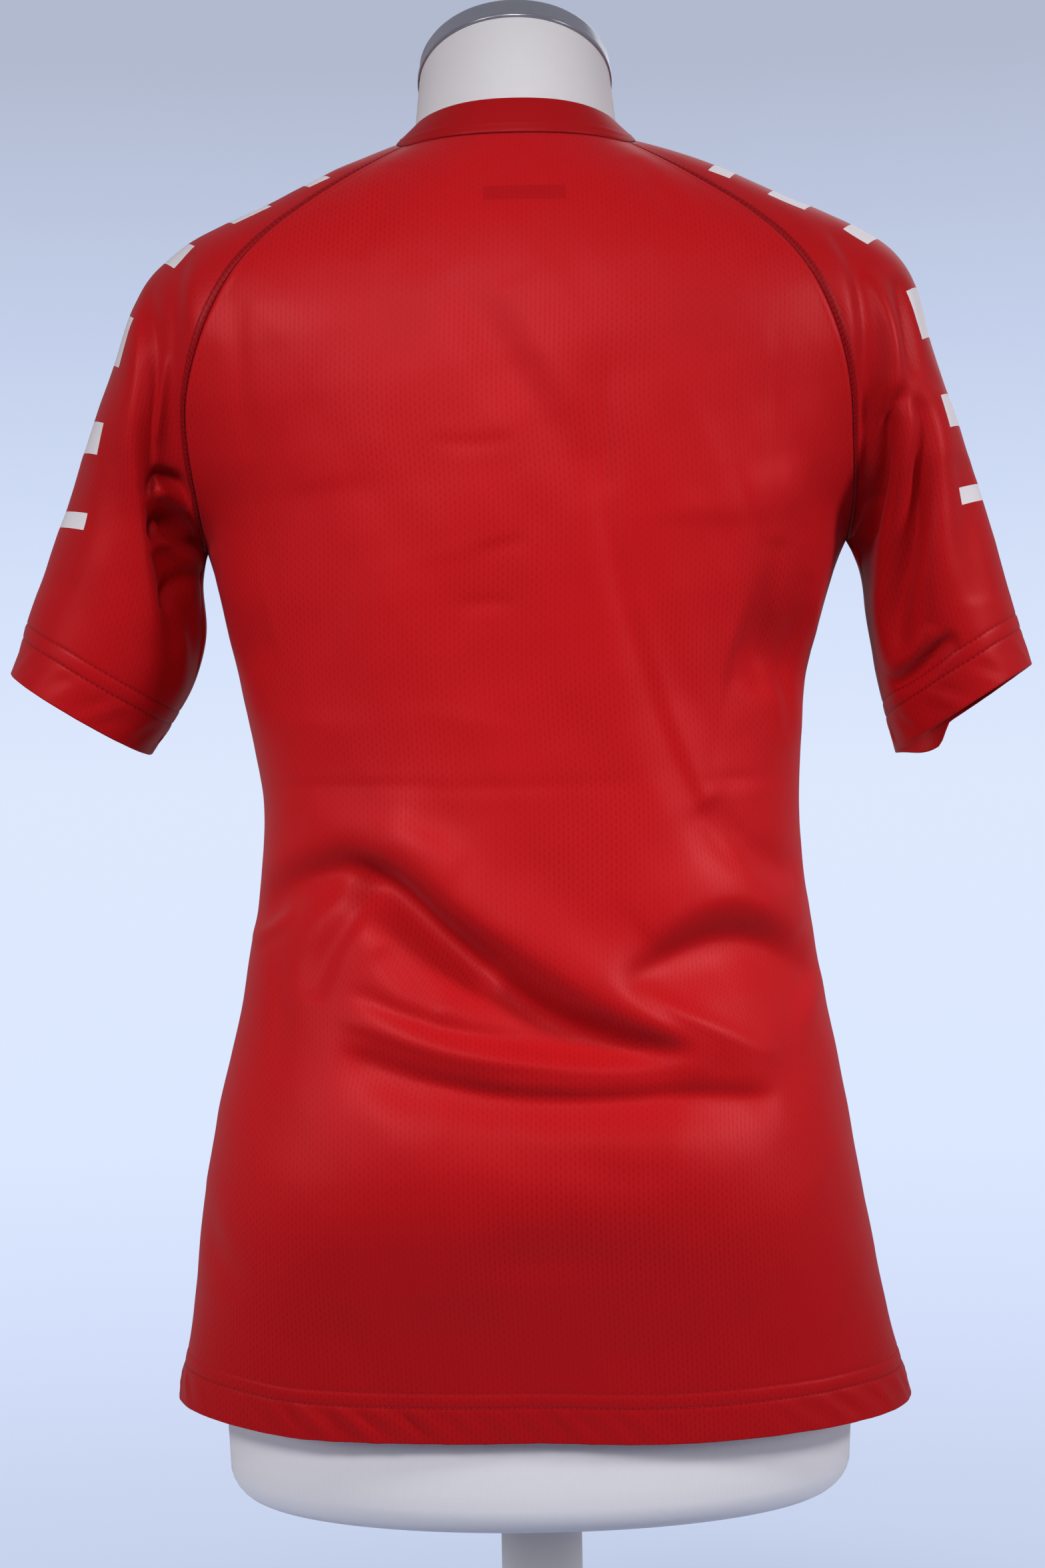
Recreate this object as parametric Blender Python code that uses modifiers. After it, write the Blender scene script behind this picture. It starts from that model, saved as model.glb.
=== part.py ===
"""Raglan football jersey on a limbless dress form with a pole stand.

Metres, +Z up, floor at Z = 0. The wearer faces +Y, so the back of the jersey faces -Y and its right
sleeve is on +X. Tables are in millimetres.
"""

import math
from collections import namedtuple

import bmesh
import bpy
import numpy as np
from mathutils import Vector
from mathutils.bvhtree import BVHTree

# ---- driving sizes, mm
MM = 0.001
WALL = 1.2  # jersey fabric
BAND_WALL = 1.6  # neckband, two layers
SEAM_GAP = 0.3
BAND_GAP = 0.5
REST_GAP = 0.6  # fabric to form where it rests
REST_REACH = 25.0  # how deep the fabric may lie in the form before it is pushed out
HEM_HEIGHT = 255.0
HEM_DROP = 6.0  # right side lower than the left
HEM_DROP_TOP = 400.0
HEM_DROP_WIDTH = 150.0
ARMHOLE_HEIGHT = 708.0
NECK_RADIUS = 52.0
NECK_TOP = 960.0
NECK_TILT = 22.0  # degrees, the cut is higher at the back
CAP_THICKNESS = 13.0
CAP_RADIUS = 53.0
FORM_BOTTOM = 196.5
FORM_CORNER = 20.0
FORM_CHEST = 800.0  # above it the shoulders follow the table row by row
POLE_RADIUS = 22.0
POLE_SOCKET = 60.0
CUT_MARGIN = 20.0  # how far a cutter stands out of the face it enters
POLE_CLEARANCE = 0.4  # round the pole in its flange
BASE_RADIUS = 150.0
BASE_THICKNESS = 12.0
FLANGE_RADIUS = 42.0
FLANGE_HEIGHT = 22.0

WELD = 0.01
COLLECTION = "football_jersey_on_dress_form"

# ---- divisions
BACK_COLUMNS = 32
FRONT_COLUMNS = 20
SLEEVE_COLUMNS = 22
FORM_COLUMNS = 40

# Jersey below the armholes, a row for each level section.
Body = namedtuple("Body", "height left right back front fullness")
BODY = (
    Body(255, 194.8, 201.0, 104, 107, 2.36),
    Body(300, 186.0, 188.6, 110, 107, 2.36),
    Body(350, 180.2, 178.6, 124, 107, 2.33),
    Body(376, 176.2, 174.0, 129, 108, 2.30),
    Body(400, 172.0, 170.0, 128, 109, 2.25),
    Body(425, 166.4, 166.0, 122.5, 110, 2.25),
    Body(450, 159.8, 161.3, 117, 111, 2.25),
    Body(500, 150.5, 152.5, 112.5, 113, 2.20),
    Body(540, 144.8, 147.8, 110, 115, 2.20),
    Body(575, 142.6, 146.5, 108, 117, 2.20),
    Body(605, 148.8, 149.2, 107, 119, 2.20),
    Body(635, 154.4, 152.0, 108, 121, 2.25),
    Body(670, 162.0, 161.2, 110, 122, 2.30),
    Body(690, 165.2, 165.0, 111, 122, 2.28),
    Body(708, 171.5, 174.0, 111.5, 122, 2.22),
)

# Back and front of the yoke on the centre line, a row for each raglan row below.
Middle = namedtuple("Middle", "back back_height front front_height")
MIDDLE = (
    Middle(68, 916, 84, 850),
    Middle(79, 899, 90, 839),
    Middle(88, 882, 96, 828),
    Middle(94.5, 867, 101, 817),
    Middle(100, 850, 106, 806),
    Middle(104.5, 830, 110.5, 794),
    Middle(108, 808, 114, 781),
    Middle(110, 788, 117, 768),
    Middle(111.5, 768, 119.5, 754),
    Middle(112, 748, 121.5, 740),
    Middle(112, 728, 122.5, 724),
    Middle(111.5, 708, 122, 708),
)

# Raglan seams and the outer line of the shoulder, from the neck to the underarm. The last row is
# the closed ring at the underarm, where both seams meet.
Raglan = namedtuple(
    "Raglan", "back_x back_y back_z front_x front_y front_z outer_x outer_z half_angle"
)
RAGLAN_RIGHT = (
    Raglan(60.5, -41, 917, 56, 50, 903, 69, 927.5, 50),
    Raglan(85, -56, 900, 78, 56, 887, 96, 914.5, 52),
    Raglan(109, -66, 882, 101, 62, 870, 123, 901.5, 56),
    Raglan(129, -73, 866, 120, 68, 855, 149, 889, 62),
    Raglan(144, -79, 848, 136, 73, 840, 176, 879, 70),
    Raglan(155, -82, 829, 149, 77, 823, 199.5, 865.5, 80),
    Raglan(163, -81, 808, 159, 77, 803, 213, 847, 92),
    Raglan(169, -76, 788, 166, 73, 784, 218.5, 823.5, 102),
    Raglan(171.5, -68, 768, 170.5, 65, 765, 225.5, 800.5, 114),
    Raglan(173, -56, 748, 172, 54, 746, 233.5, 776.5, 127),
    Raglan(175.5, -38, 729, 173.5, 37, 728, 240.5, 754.5, 143),
    Raglan(177, 0, 710, 177, 0, 710, 247, 732.5, 180),
)
RAGLAN_LEFT = (
    Raglan(60.5, -41, 917, 56, 50, 903, 69, 925.5, 50),
    Raglan(84, -56, 901, 78, 56, 887, 96, 910.5, 52),
    Raglan(108, -66, 883, 101, 62, 870, 122, 896.5, 56),
    Raglan(127, -73, 868, 120, 68, 855, 147, 885.5, 62),
    Raglan(143, -79, 850, 136, 73, 840, 171, 876, 70),
    Raglan(155, -82, 831, 149, 77, 823, 192, 862, 80),
    Raglan(164, -81, 809, 159, 77, 803, 205, 846, 92),
    Raglan(171.5, -76, 788, 166, 73, 784, 212, 824, 102),
    Raglan(174.5, -67, 768, 170.5, 65, 765, 222, 800, 114),
    Raglan(173.5, -55, 748, 172, 54, 746, 231.5, 775, 127),
    Raglan(172, -38, 728, 171.5, 37, 727, 240, 753, 143),
    Raglan(172.5, 0, 709, 172.5, 0, 709, 248, 733, 180),
)

UNDERARM = len(RAGLAN_RIGHT) - 1
YOKE_PLAIN = 7  # last yoke row with a plain swell
YOKE_SWELL = 2.3
YOKE_SQUARE_LOSS = 0.51  # how much of the swell's power is gone at the underarm
YOKE_SQUARE_POWER = 1.75
YOKE_RISE_POWER = 1.2

# Sleeve below the underarm, a row for each ring.
Ring = namedtuple("Ring", "inner_x inner_z outer_x outer_z half_depth centre_y tip sag")
SLEEVE_RIGHT = (
    Ring(185.3, 693, 253, 715, 59, 1, 0, 0),
    Ring(185.3, 674, 258, 698, 58, 2, 0, 0),
    Ring(189, 655, 263, 681, 56, 3, 2, 0),
    Ring(193, 636, 267.5, 666, 55, 4, 2, 0),
    Ring(197, 616, 272, 652, 54, 5, 4, 0),
    Ring(203, 595, 275.5, 639.5, 53, 6, 6, 1),
)
SLEEVE_LEFT = (
    Ring(177, 693, 254, 716, 59, 1, 0, 0),
    Ring(173.5, 674, 260, 700, 58, 1, 0, 0),
    Ring(176, 655, 266, 685, 56, 2, 0, 0),
    Ring(183.3, 636, 271.5, 670, 55, 2, 0, 0),
    Ring(194, 617, 275.5, 657, 54, 3, 0, 0),
    Ring(206, 600, 279.5, 646, 53, 3, 0, 0),
)

# Neckline seam and top edge of the neckband: the height goes by the distance from the centre plane.
NECKLINE = {"half_width": 67.0, "back": 68.0, "front": 84.0, "fullness": 2.3}
NECKLINE_HEIGHTS = ((-68, 916), (-41, 918), (0, 927.5), (30, 917), (55, 896), (84, 850))
BAND_TOP = {"half_width": 56.0, "back": 60.0, "front": 70.0, "fullness": 2.2}
BAND_TOP_HEIGHTS = ((-60, 937), (-30, 935.5), (0, 936), (25, 927), (50, 900), (70, 866))
BAND_BULGE = 0.9
BAND_UNDERCUT = 0.035  # the inner face starts a little higher, clear of the panels

# Largest folds, each a shallow arc from start to end; sag moves its middle to the left of its run.
Fold = namedtuple("Fold", "side start_x start_z end_x end_z sag width depth")
FOLDS = (
    Fold("back", -152, 486, -94, 538, 10, 11, -9.0),
    Fold("back", -100, 539, 84, 448, -10, 11, -10.5),
    Fold("back", -48, 536, 84, 461, 8, 12, 4.5),
    Fold("back", -92, 472, 60, 448, -6, 8, -3.5),
    Fold("back", -112, 452, 128, 424, -10, 10, -8.5),
    Fold("back", 46, 474, 156, 453, 34, 11, -9.5),
    Fold("back", 46, 810, 140, 508, -22, 15, -4.0),
    Fold("back", 28, 770, 122, 524, -16, 18, 3.0),
    Fold("back", -22, 812, 38, 716, 4, 13, -2.5),
    Fold("back", -190, 845, -186, 660, 4, 10, -6.5),
    Fold("back", -203, 830, -201, 680, 3, 9, 3.0),
    Fold("back", 180, 840, 177, 706, -2, 9, -5.0),
    Fold("back", 203, 774, 187, 650, -5, 8, -5.5),
    Fold("back", 200, 768, 198, 636, -5, 7, 3.5),
    Fold("front", -118, 700, 20, 560, -14, 20, -4.0),
    Fold("front", 122, 704, 40, 520, 12, 18, -4.5),
    Fold("front", -110, 470, 60, 430, -12, 14, -6.0),
    Fold("front", 130, 480, -20, 440, 10, 13, -5.0),
    Fold("front", 205, 800, 196, 640, -5, 12, -5.5),
    Fold("front", -203, 810, -192, 650, 5, 12, -5.5),
)

# Dress form, a row for each level section.
Form = namedtuple("Form", "height half_width back front fullness")
FORM = (
    Form(221, 168.5, 94, 99, 2.05),
    Form(260, 170.0, 96, 101, 2.10),
    Form(310, 168.0, 105.5, 101, 2.20),
    Form(350, 163.0, 115.5, 99, 2.20),
    Form(400, 152.0, 116.5, 94, 2.20),
    Form(450, 138.0, 98, 87, 2.20),
    Form(500, 126.0, 88, 81, 2.15),
    Form(540, 120.0, 86, 79, 2.15),
    Form(580, 121.0, 85, 82, 2.15),
    Form(620, 128.0, 88, 90, 2.15),
    Form(660, 137.0, 92, 101, 2.20),
    Form(700, 145.0, 96, 111, 2.20),
    Form(735, 149.0, 99, 114, 2.20),
    Form(770, 155.0, 101, 107, 2.20),
    Form(800, 168.0, 101, 97, 2.20),
    Form(825, 181.0, 99, 87, 2.20),
    Form(845, 187.0, 95, 74, 2.10),
    Form(862, 184.5, 89, 64, 1.98),
    Form(876, 165.0, 82, 59, 1.80),
    Form(888, 139.5, 74, 56, 1.60),
    Form(900, 113.0, 66, 53.5, 1.45),
    Form(912, 86.0, 58, 52.4, 1.36),
    Form(924, 63.0, 53.2, 52, 1.55),
    Form(934, 54.5, 52.2, 52, 2.00),
)

Finish = namedtuple("Finish", "colour roughness metallic")
JERSEY_RED = Finish((0.45, 0.012, 0.02, 1), 0.45, 0.0)
FORM_WHITE = Finish((0.80, 0.82, 0.86, 1), 0.5, 0.0)
CHROME = Finish((0.75, 0.77, 0.80, 1), 0.15, 1.0)
POLE_GREY = Finish((0.70, 0.72, 0.76, 1), 0.35, 0.0)
BASE_GREY = Finish((0.62, 0.64, 0.68, 1), 0.35, 1.0)


def clear_scene():
    for obj in list(bpy.data.objects):
        bpy.data.objects.remove(obj, do_unlink=True)


def smooth(at, xs, ys):
    """Monotone cubic through the table (xs rising), read at the points given."""
    xs = np.asarray(xs, float)
    ys = np.asarray(ys, float)
    at = np.clip(np.asarray(at, float), xs[0], xs[-1])
    step = np.diff(xs)
    slope = np.diff(ys) / step
    inner = np.zeros(len(xs) - 2)
    same = slope[:-1] * slope[1:] > 0
    one = 2 * step[1:] + step[:-1]
    two = step[1:] + 2 * step[:-1]
    inner[same] = ((one + two)[same]) / (one[same] / slope[:-1][same] + two[same] / slope[1:][same])
    tangent = np.concatenate(([slope[0]], inner, [slope[-1]]))
    k = np.clip(np.searchsorted(xs, at, side="right") - 1, 0, len(xs) - 2)
    t = (at - xs[k]) / step[k]
    rise = (1 + 2 * t) * (1 - t) ** 2 * ys[k] + t * t * (3 - 2 * t) * ys[k + 1]
    return rise + step[k] * (t * (1 - t) ** 2 * tangent[k] - t * t * (1 - t) * tangent[k + 1])


def column(table, name):
    return [getattr(row, name) for row in table]


def power(value, exponent):
    return np.sign(value) * np.abs(value) ** exponent


def half_section(row, angles, back):
    """Half of a level section, from the left side (-90 degrees) to the right (90)."""
    sine = np.sin(angles)
    width = np.where(sine < 0, row.left, row.right)
    depth = -row.back if back else row.front
    x = width * power(sine, 2 / row.fullness)
    y = depth * np.abs(np.cos(angles)) ** (2 / row.fullness)
    return np.stack([x, y, np.full_like(x, row.height)], axis=1)


def body_row(height):
    heights = column(BODY, "height")
    values = [float(smooth(height, heights, column(BODY, name))) for name in Body._fields[1:]]
    return Body(height, *values)


def body_heights():
    """Levels of the body, closer together where the folds gather in the small of the back."""
    low = np.linspace(HEM_HEIGHT, 420, 8)[:-1]
    gathered = np.linspace(420, 560, 13)[:-1]
    high = np.linspace(560, ARMHOLE_HEIGHT, 8)
    return np.concatenate([low, gathered, high])


def neck_curve(sizes, heights, angles):
    """Closed curve round the neck; angle 0 is the centre back and 90 the right side."""
    sine, cosine = np.sin(angles), np.cos(angles)
    exponent = 2 / sizes["fullness"]
    x = sizes["half_width"] * power(sine, exponent)
    y = -power(cosine, exponent) * np.where(cosine > 0, sizes["back"], sizes["front"])
    z = smooth(y, *zip(*heights))
    return np.stack([x, y, z], axis=1)


def neck_angle(x, front):
    """Angle on the neckline at which it reaches this distance from the centre."""
    angle = math.asin((x / NECKLINE["half_width"]) ** (NECKLINE["fullness"] / 2))
    return math.pi - angle if front else angle


def arc(back, outer, front, half_angle, columns):
    """Open arc from the back seam over the outer line to the front seam."""
    edge = math.radians(half_angle)
    phi = np.linspace(-edge, edge, columns + 1)
    across = np.sin(phi) / math.sin(edge)
    along = (np.cos(phi) - math.cos(edge)) / (1 - math.cos(edge))
    middle = (back + front) / 2
    return middle + np.outer(across, (front - back) / 2) + np.outer(along, outer - middle)


def ring(inner, outer, half_depth, centre_y, tip, sag, columns):
    """Closed sleeve ring from the underarm seam round the back; tip lowers its front, sag both sides."""
    phi = np.linspace(-math.pi, math.pi, columns + 1)
    middle = (inner + outer) / 2 + np.array([0, centre_y, 0])
    depth = np.array([0, half_depth, -tip])
    points = middle + np.outer(np.cos(phi), (outer - inner) / 2) + np.outer(np.sin(phi), depth)
    points[:, 2] -= sag * np.sin(phi) ** 2
    points[-1] = points[0]
    return points


def sleeve_grid(raglan, rings, side):
    """Rows of the sleeve from the neckline to the cuff, side is 1 for right and -1 for left."""
    start, end = neck_angle(raglan[0].back_x, False), neck_angle(raglan[0].front_x, True)
    rows = [neck_curve(NECKLINE, NECKLINE_HEIGHTS, np.linspace(start, end, SLEEVE_COLUMNS + 1))]
    for row in raglan[1:-1]:
        back = np.array([row.back_x, row.back_y, row.back_z], float)
        front = np.array([row.front_x, row.front_y, row.front_z], float)
        outer = np.array([row.outer_x, 0, row.outer_z], float)
        rows.append(arc(back, outer, front, row.half_angle, SLEEVE_COLUMNS))
    last = raglan[-1]
    closed = [Ring(last.back_x, last.back_z, last.outer_x, last.outer_z, 60, 0, 0, 0), *rings]
    for row in closed:
        inner = np.array([row.inner_x, 0, row.inner_z], float)
        outer = np.array([row.outer_x, 0, row.outer_z], float)
        rows.append(ring(inner, outer, row.half_depth, row.centre_y, row.tip, row.sag, SLEEVE_COLUMNS))
    grid = np.array(rows)
    grid[:, :, 0] *= side
    return grid


def squareness(index):
    """Power of a yoke row's swell: that of a level section at the underarm, plain further up."""
    low = max(0.0, (index - YOKE_PLAIN) / (UNDERARM - YOKE_PLAIN))
    return 1 - YOKE_SQUARE_LOSS * low**YOKE_SQUARE_POWER


def yoke_row(left, right, middle_depth, middle_height, columns, square):
    """Row of the back or the front between the two raglan seams."""
    across = np.linspace(-1, 1, columns + 1)
    share = (across[:, None] + 1) / 2
    points = left * (1 - share) + right * share
    swell = (1 - np.abs(across) ** YOKE_SWELL) ** square
    points[:, 1] += (middle_depth - (left[1] + right[1]) / 2) * swell
    points[:, 2] += (middle_height - (left[2] + right[2]) / 2) * (1 - across**2) ** YOKE_RISE_POWER
    points[0], points[-1] = left, right
    return points


def panel_grid(left_sleeve, right_sleeve, back, columns):
    """Back or front: level sections up to the underarm, then rows between the raglan seams."""
    angles = np.linspace(-math.pi / 2, math.pi / 2, columns + 1)
    rows = [half_section(body_row(h), angles, back) for h in body_heights()[:-1]]
    seam = 0 if back else -1
    for index in range(len(MIDDLE) - 1, 0, -1):
        middle = MIDDLE[index]
        depth = -middle.back if back else middle.front
        height = middle.back_height if back else middle.front_height
        left, right = left_sleeve[index, seam], right_sleeve[index, seam]
        if index == len(MIDDLE) - 1:
            row = half_section(body_row(ARMHOLE_HEIGHT), angles, back)
            row[0], row[-1] = left, right
        else:
            row = yoke_row(left, right, depth, height, columns, squareness(index))
        rows.append(row)
    edge = neck_angle(RAGLAN_RIGHT[0].back_x if back else RAGLAN_RIGHT[0].front_x, not back)
    start = -edge if back else 2 * math.pi - edge
    rows.append(neck_curve(NECKLINE, NECKLINE_HEIGHTS, np.linspace(start, edge, columns + 1)))
    grid = np.array(rows)
    low = np.clip((HEM_DROP_TOP - grid[:, :, 2]) / (HEM_DROP_TOP - HEM_HEIGHT), 0, 1)
    grid[:, :, 2] -= HEM_DROP * low**2 * np.clip(grid[:, :, 0] / HEM_DROP_WIDTH, 0, 1)
    return grid


class Surface:
    """The jersey's outer surface, its four panels sharing their points along the seams."""

    def __init__(self, grids):
        self.grids = grids
        stacked = np.concatenate([grid.reshape(-1, 3) for grid in grids.values()])
        _, first, index = np.unique(
            np.round(stacked, 2), axis=0, return_index=True, return_inverse=True
        )
        index = index.reshape(-1)
        self.points = stacked[first]
        self.index, start, quads, edges = {}, 0, [], []
        for name, grid in grids.items():
            count = grid.shape[0] * grid.shape[1]
            ids = index[start : start + count].reshape(grid.shape[:2])
            start += count
            self.index[name] = ids
            quad = np.stack([ids[:-1, :-1], ids[:-1, 1:], ids[1:, 1:], ids[1:, :-1]], axis=-1)
            quads.append(quad.reshape(-1, 4))
            edges.append(np.stack([ids[:-1], ids[1:]], axis=-1).reshape(-1, 2))
            edges.append(np.stack([ids[:, :-1], ids[:, 1:]], axis=-1).reshape(-1, 2))
        self.quads = np.concatenate(quads)
        self.edges = np.unique(np.sort(np.concatenate(edges), axis=1), axis=0)
        self.edges = self.edges[self.edges[:, 0] != self.edges[:, 1]]
        self.fixed = np.zeros(len(self.points), bool)
        for ids in (self.index["back_panel"], self.index["front_panel"]):
            self.fixed[ids[0]] = self.fixed[ids[-1]] = True
        for ids in (self.index["sleeve_left"], self.index["sleeve_right"]):
            self.fixed[ids[0]] = self.fixed[ids[-1]] = True

    def around(self, values):
        """Mean of the neighbours of each point."""
        total = np.zeros((len(self.points), 3))
        count = np.zeros(len(self.points))
        for a, b in (self.edges.T, self.edges.T[::-1]):
            np.add.at(total, a, values[b])
            np.add.at(count, a, 1)
        return total / count[:, None]

    def relax(self, rounds):
        """Evens the surface out across the seams without drawing it in."""
        for _ in range(rounds):
            for share in (0.5, -0.52):
                move = share * (self.around(self.points) - self.points)
                move[self.fixed] = 0
                self.points = self.points + move

    def normals(self):
        """Outward normals; along a seam, halfway between those of the sheets that meet there."""
        total = np.zeros((len(self.points), 3))
        for name, ids in self.index.items():
            corner = self.points[ids]
            face = np.cross(corner[1:, 1:] - corner[:-1, :-1], corner[1:, :-1] - corner[:-1, 1:])
            if name in ("front_panel", "sleeve_right"):
                face = -face
            own = np.zeros_like(corner)
            for rows in (slice(0, -1), slice(1, None)):
                for columns in (slice(0, -1), slice(1, None)):
                    own[rows, columns] += face
            own /= np.linalg.norm(own, axis=2)[:, :, None]
            np.add.at(total, ids.reshape(-1), own.reshape(-1, 3))
        for name in ("sleeve_left", "sleeve_right"):
            total[self.index[name][UNDERARM, 0]] += (0, 0, -2)
        return total / np.linalg.norm(total, axis=1)[:, None]

    def crease(self, folds):
        """Moves the points in or out where a fold passes."""
        out = self.normals()
        for fold in folds:
            start = np.array([fold.start_x, fold.start_z], float)
            end = np.array([fold.end_x, fold.end_z], float)
            run = (end - start) / np.linalg.norm(end - start)
            bend = (start + end) / 2 + 2 * fold.sag * np.array([-run[1], run[0]])
            t = np.linspace(0, 1, 25)[:, None]
            path = (1 - t) ** 2 * start + 2 * t * (1 - t) * bend + t * t * end
            away = np.linalg.norm(self.points[:, None, [0, 2]] - path[None], axis=2)
            nearest = away.argmin(axis=1)
            ends = np.sin(math.pi * np.clip(t[nearest, 0], 0, 1)) ** 0.5
            facing = np.clip(out[:, 1] * (-1 if fold.side == "back" else 1) * 2.0, 0, 1)
            depth = fold.depth * np.exp(-((away.min(axis=1) / fold.width) ** 2)) * ends * facing
            depth[self.fixed] = 0
            self.points = self.points + out * depth[:, None]

    def rest_on(self, tree, clear):
        """Pushes the surface out until it and the middles of its faces clear the form."""
        for _ in range(8):
            for ids in (np.arange(len(self.points))[:, None], self.quads):
                for k, middle in enumerate(self.points[ids].mean(axis=1)):
                    near, normal, _, _ = tree.find_nearest(Vector(middle * MM))
                    away = Vector(middle * MM) - near
                    lift = clear - away.dot(normal) / MM
                    if lift > 0 and away.length / MM < REST_REACH:
                        self.points[ids[k]] += np.array(normal) * lift


def add_object(name, points, faces, finish):
    mesh = bpy.data.meshes.new(name)
    mesh.from_pydata([tuple(point * MM) for point in points], [], [list(map(int, f)) for f in faces])
    obj = bpy.data.objects.new(name, mesh)
    bpy.data.collections[COLLECTION].objects.link(obj)
    face_out(obj)
    paint(obj, finish)
    return obj


def face_out(obj):
    """Welds the points that meet and turns the faces outwards."""
    bm = bmesh.new()
    bm.from_mesh(obj.data)
    bmesh.ops.remove_doubles(bm, verts=bm.verts, dist=WELD * MM)
    bmesh.ops.recalc_face_normals(bm, faces=bm.faces)
    bm.to_mesh(obj.data)
    bm.free()


def move_to(obj, collection):
    for current in list(obj.users_collection):
        current.objects.unlink(obj)
    collection.objects.link(obj)


def paint(obj, finish):
    material = bpy.data.materials.new(obj.name)
    material.use_nodes = True
    shader = material.node_tree.nodes["Principled BSDF"]
    shader.inputs["Base Color"].default_value = finish.colour
    shader.inputs["Roughness"].default_value = finish.roughness
    shader.inputs["Metallic"].default_value = finish.metallic
    material.diffuse_color = finish.colour
    obj.data.materials.clear()
    obj.data.materials.append(material)
    for face in obj.data.polygons:
        face.use_smooth = True


def grid_faces(grid):
    """Triangles of a grid of points, each cell cut along its shorter diagonal."""
    ids = np.arange(grid.shape[0] * grid.shape[1]).reshape(grid.shape[:2])
    a, b = ids[:-1, :-1].reshape(-1), ids[:-1, 1:].reshape(-1)
    c, d = ids[1:, 1:].reshape(-1), ids[1:, :-1].reshape(-1)
    points = grid.reshape(-1, 3)
    rising = np.linalg.norm(points[a] - points[c], axis=1) < np.linalg.norm(points[b] - points[d], axis=1)
    first = np.stack([a, b, np.where(rising, c, d)], axis=-1)
    second = np.stack([np.where(rising, a, b), c, d], axis=-1)
    return np.concatenate([first, second])


def thick_sheet(name, outer, inner, finish):
    """Closes the outer and inner faces of a cut sheet with its four edges."""
    rows, columns = outer.shape[:2]
    count = rows * columns
    ids = np.arange(count).reshape(rows, columns)
    rim = np.concatenate([ids[0, :-1], ids[:-1, -1], ids[-1, :0:-1], ids[:0:-1, 0]])
    after = np.roll(rim, -1)
    edges = np.concatenate([
        np.stack([rim, after, after + count], axis=-1),
        np.stack([rim, after + count, rim + count], axis=-1),
    ])
    top = grid_faces(outer)
    faces = np.concatenate([top, top[:, ::-1] + count, edges])
    points = np.concatenate([outer.reshape(-1, 3), inner.reshape(-1, 3)])
    return add_object(name, points, faces, finish)


def seam_shift(points, normals, edge, beside, underarm):
    """Half the seam gap, drawing an edge of a sheet back square to the seam."""
    across = np.cross(np.gradient(points[:, edge], axis=0), normals[:, edge])
    across /= np.linalg.norm(across, axis=1)[:, None]
    inside = points[:, beside] - points[:, edge]
    across *= np.sign((across * inside).sum(axis=1))[:, None]
    across[underarm] = np.sign(inside[underarm]) * (1, 1, 0)
    return across * SEAM_GAP / 2


def make_jersey(tree):
    left = sleeve_grid(RAGLAN_LEFT, SLEEVE_LEFT, -1)
    right = sleeve_grid(RAGLAN_RIGHT, SLEEVE_RIGHT, 1)
    grids = {
        "back_panel": panel_grid(left, right, True, BACK_COLUMNS),
        "front_panel": panel_grid(left, right, False, FRONT_COLUMNS),
        "sleeve_left": left,
        "sleeve_right": right,
    }
    surface = Surface(grids)
    surface.relax(6)
    surface.crease(FOLDS)
    surface.rest_on(tree, WALL + REST_GAP)
    normals = surface.normals()
    for name, ids in surface.index.items():
        outer, out = surface.points[ids].copy(), normals[ids]
        underarm = UNDERARM if name.startswith("sleeve") else len(ids) - 1 - UNDERARM
        for edge, beside in ((0, 1), (-1, -2)):
            outer[:, edge] += seam_shift(outer, out, edge, beside, underarm)
        thick_sheet(name, outer, outer - out * WALL, JERSEY_RED)


def make_neckband():
    """Folded band standing round the neck, from the neckline seam to its top edge."""
    back = neck_angle(RAGLAN_RIGHT[0].back_x, False)
    front = neck_angle(RAGLAN_RIGHT[0].front_x, True)
    angles = np.concatenate([
        np.linspace(-back, back, BACK_COLUMNS + 1)[:-1],
        np.linspace(back, front, SLEEVE_COLUMNS + 1)[:-1],
        np.linspace(front, 2 * math.pi - front, FRONT_COLUMNS + 1)[:-1],
        np.linspace(2 * math.pi - front, 2 * math.pi - back, SLEEVE_COLUMNS + 1)[:-1],
    ])
    low = neck_curve(NECKLINE, NECKLINE_HEIGHTS, angles)
    top = neck_curve(BAND_TOP, BAND_TOP_HEIGHTS, angles)
    rise = top - low
    low = low + rise / np.linalg.norm(rise, axis=1)[:, None] * BAND_GAP
    around = np.roll(low, -1, axis=0) - np.roll(low, 1, axis=0)
    out = np.cross(around, rise)
    out /= np.linalg.norm(out, axis=1)[:, None]
    loops = []
    for share, depth in ((0, 0), (0.5, 0), (1, 0), (1, 1), (0.5, 1), (BAND_UNDERCUT, 1)):
        bulge = BAND_BULGE * 4 * share * (1 - share) - BAND_WALL * depth
        loops.append(low + (top - low) * share + out * bulge)
    add_loops("neckband", loops, True, JERSEY_RED)


def add_loops(name, loops, tube, finish):
    """Joins closed loops in turn: as a tube that returns to the first, or capped at both ends."""
    columns = len(loops[0])
    count = len(loops)
    faces = []
    for k in range(count if tube else count - 1):
        low, high = k * columns, (k + 1) % count * columns
        for j in range(columns):
            n = (j + 1) % columns
            faces.append([low + j, low + n, high + n, high + j])
    points = np.concatenate(loops)
    if not tube:
        middles = [loops[0].mean(axis=0), loops[-1].mean(axis=0)]
        points = np.concatenate([points, middles])
        for middle, first in ((count * columns, 0), (count * columns + 1, (count - 1) * columns)):
            faces += [[middle, first + j, first + (j + 1) % columns] for j in range(columns)]
    return add_object(name, points, faces, finish)


def form_loop(row, inset=0.0):
    angles = np.linspace(0, 2 * math.pi, FORM_COLUMNS + 1)[:-1]
    sine, cosine = np.sin(angles), np.cos(angles)
    exponent = 2 / row.fullness
    x = (row.half_width - inset) * power(sine, exponent)
    y = -power(cosine, exponent) * (np.where(cosine > 0, row.back, row.front) - inset)
    return np.stack([x, y, np.full_like(x, row.height)], axis=1)


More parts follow.
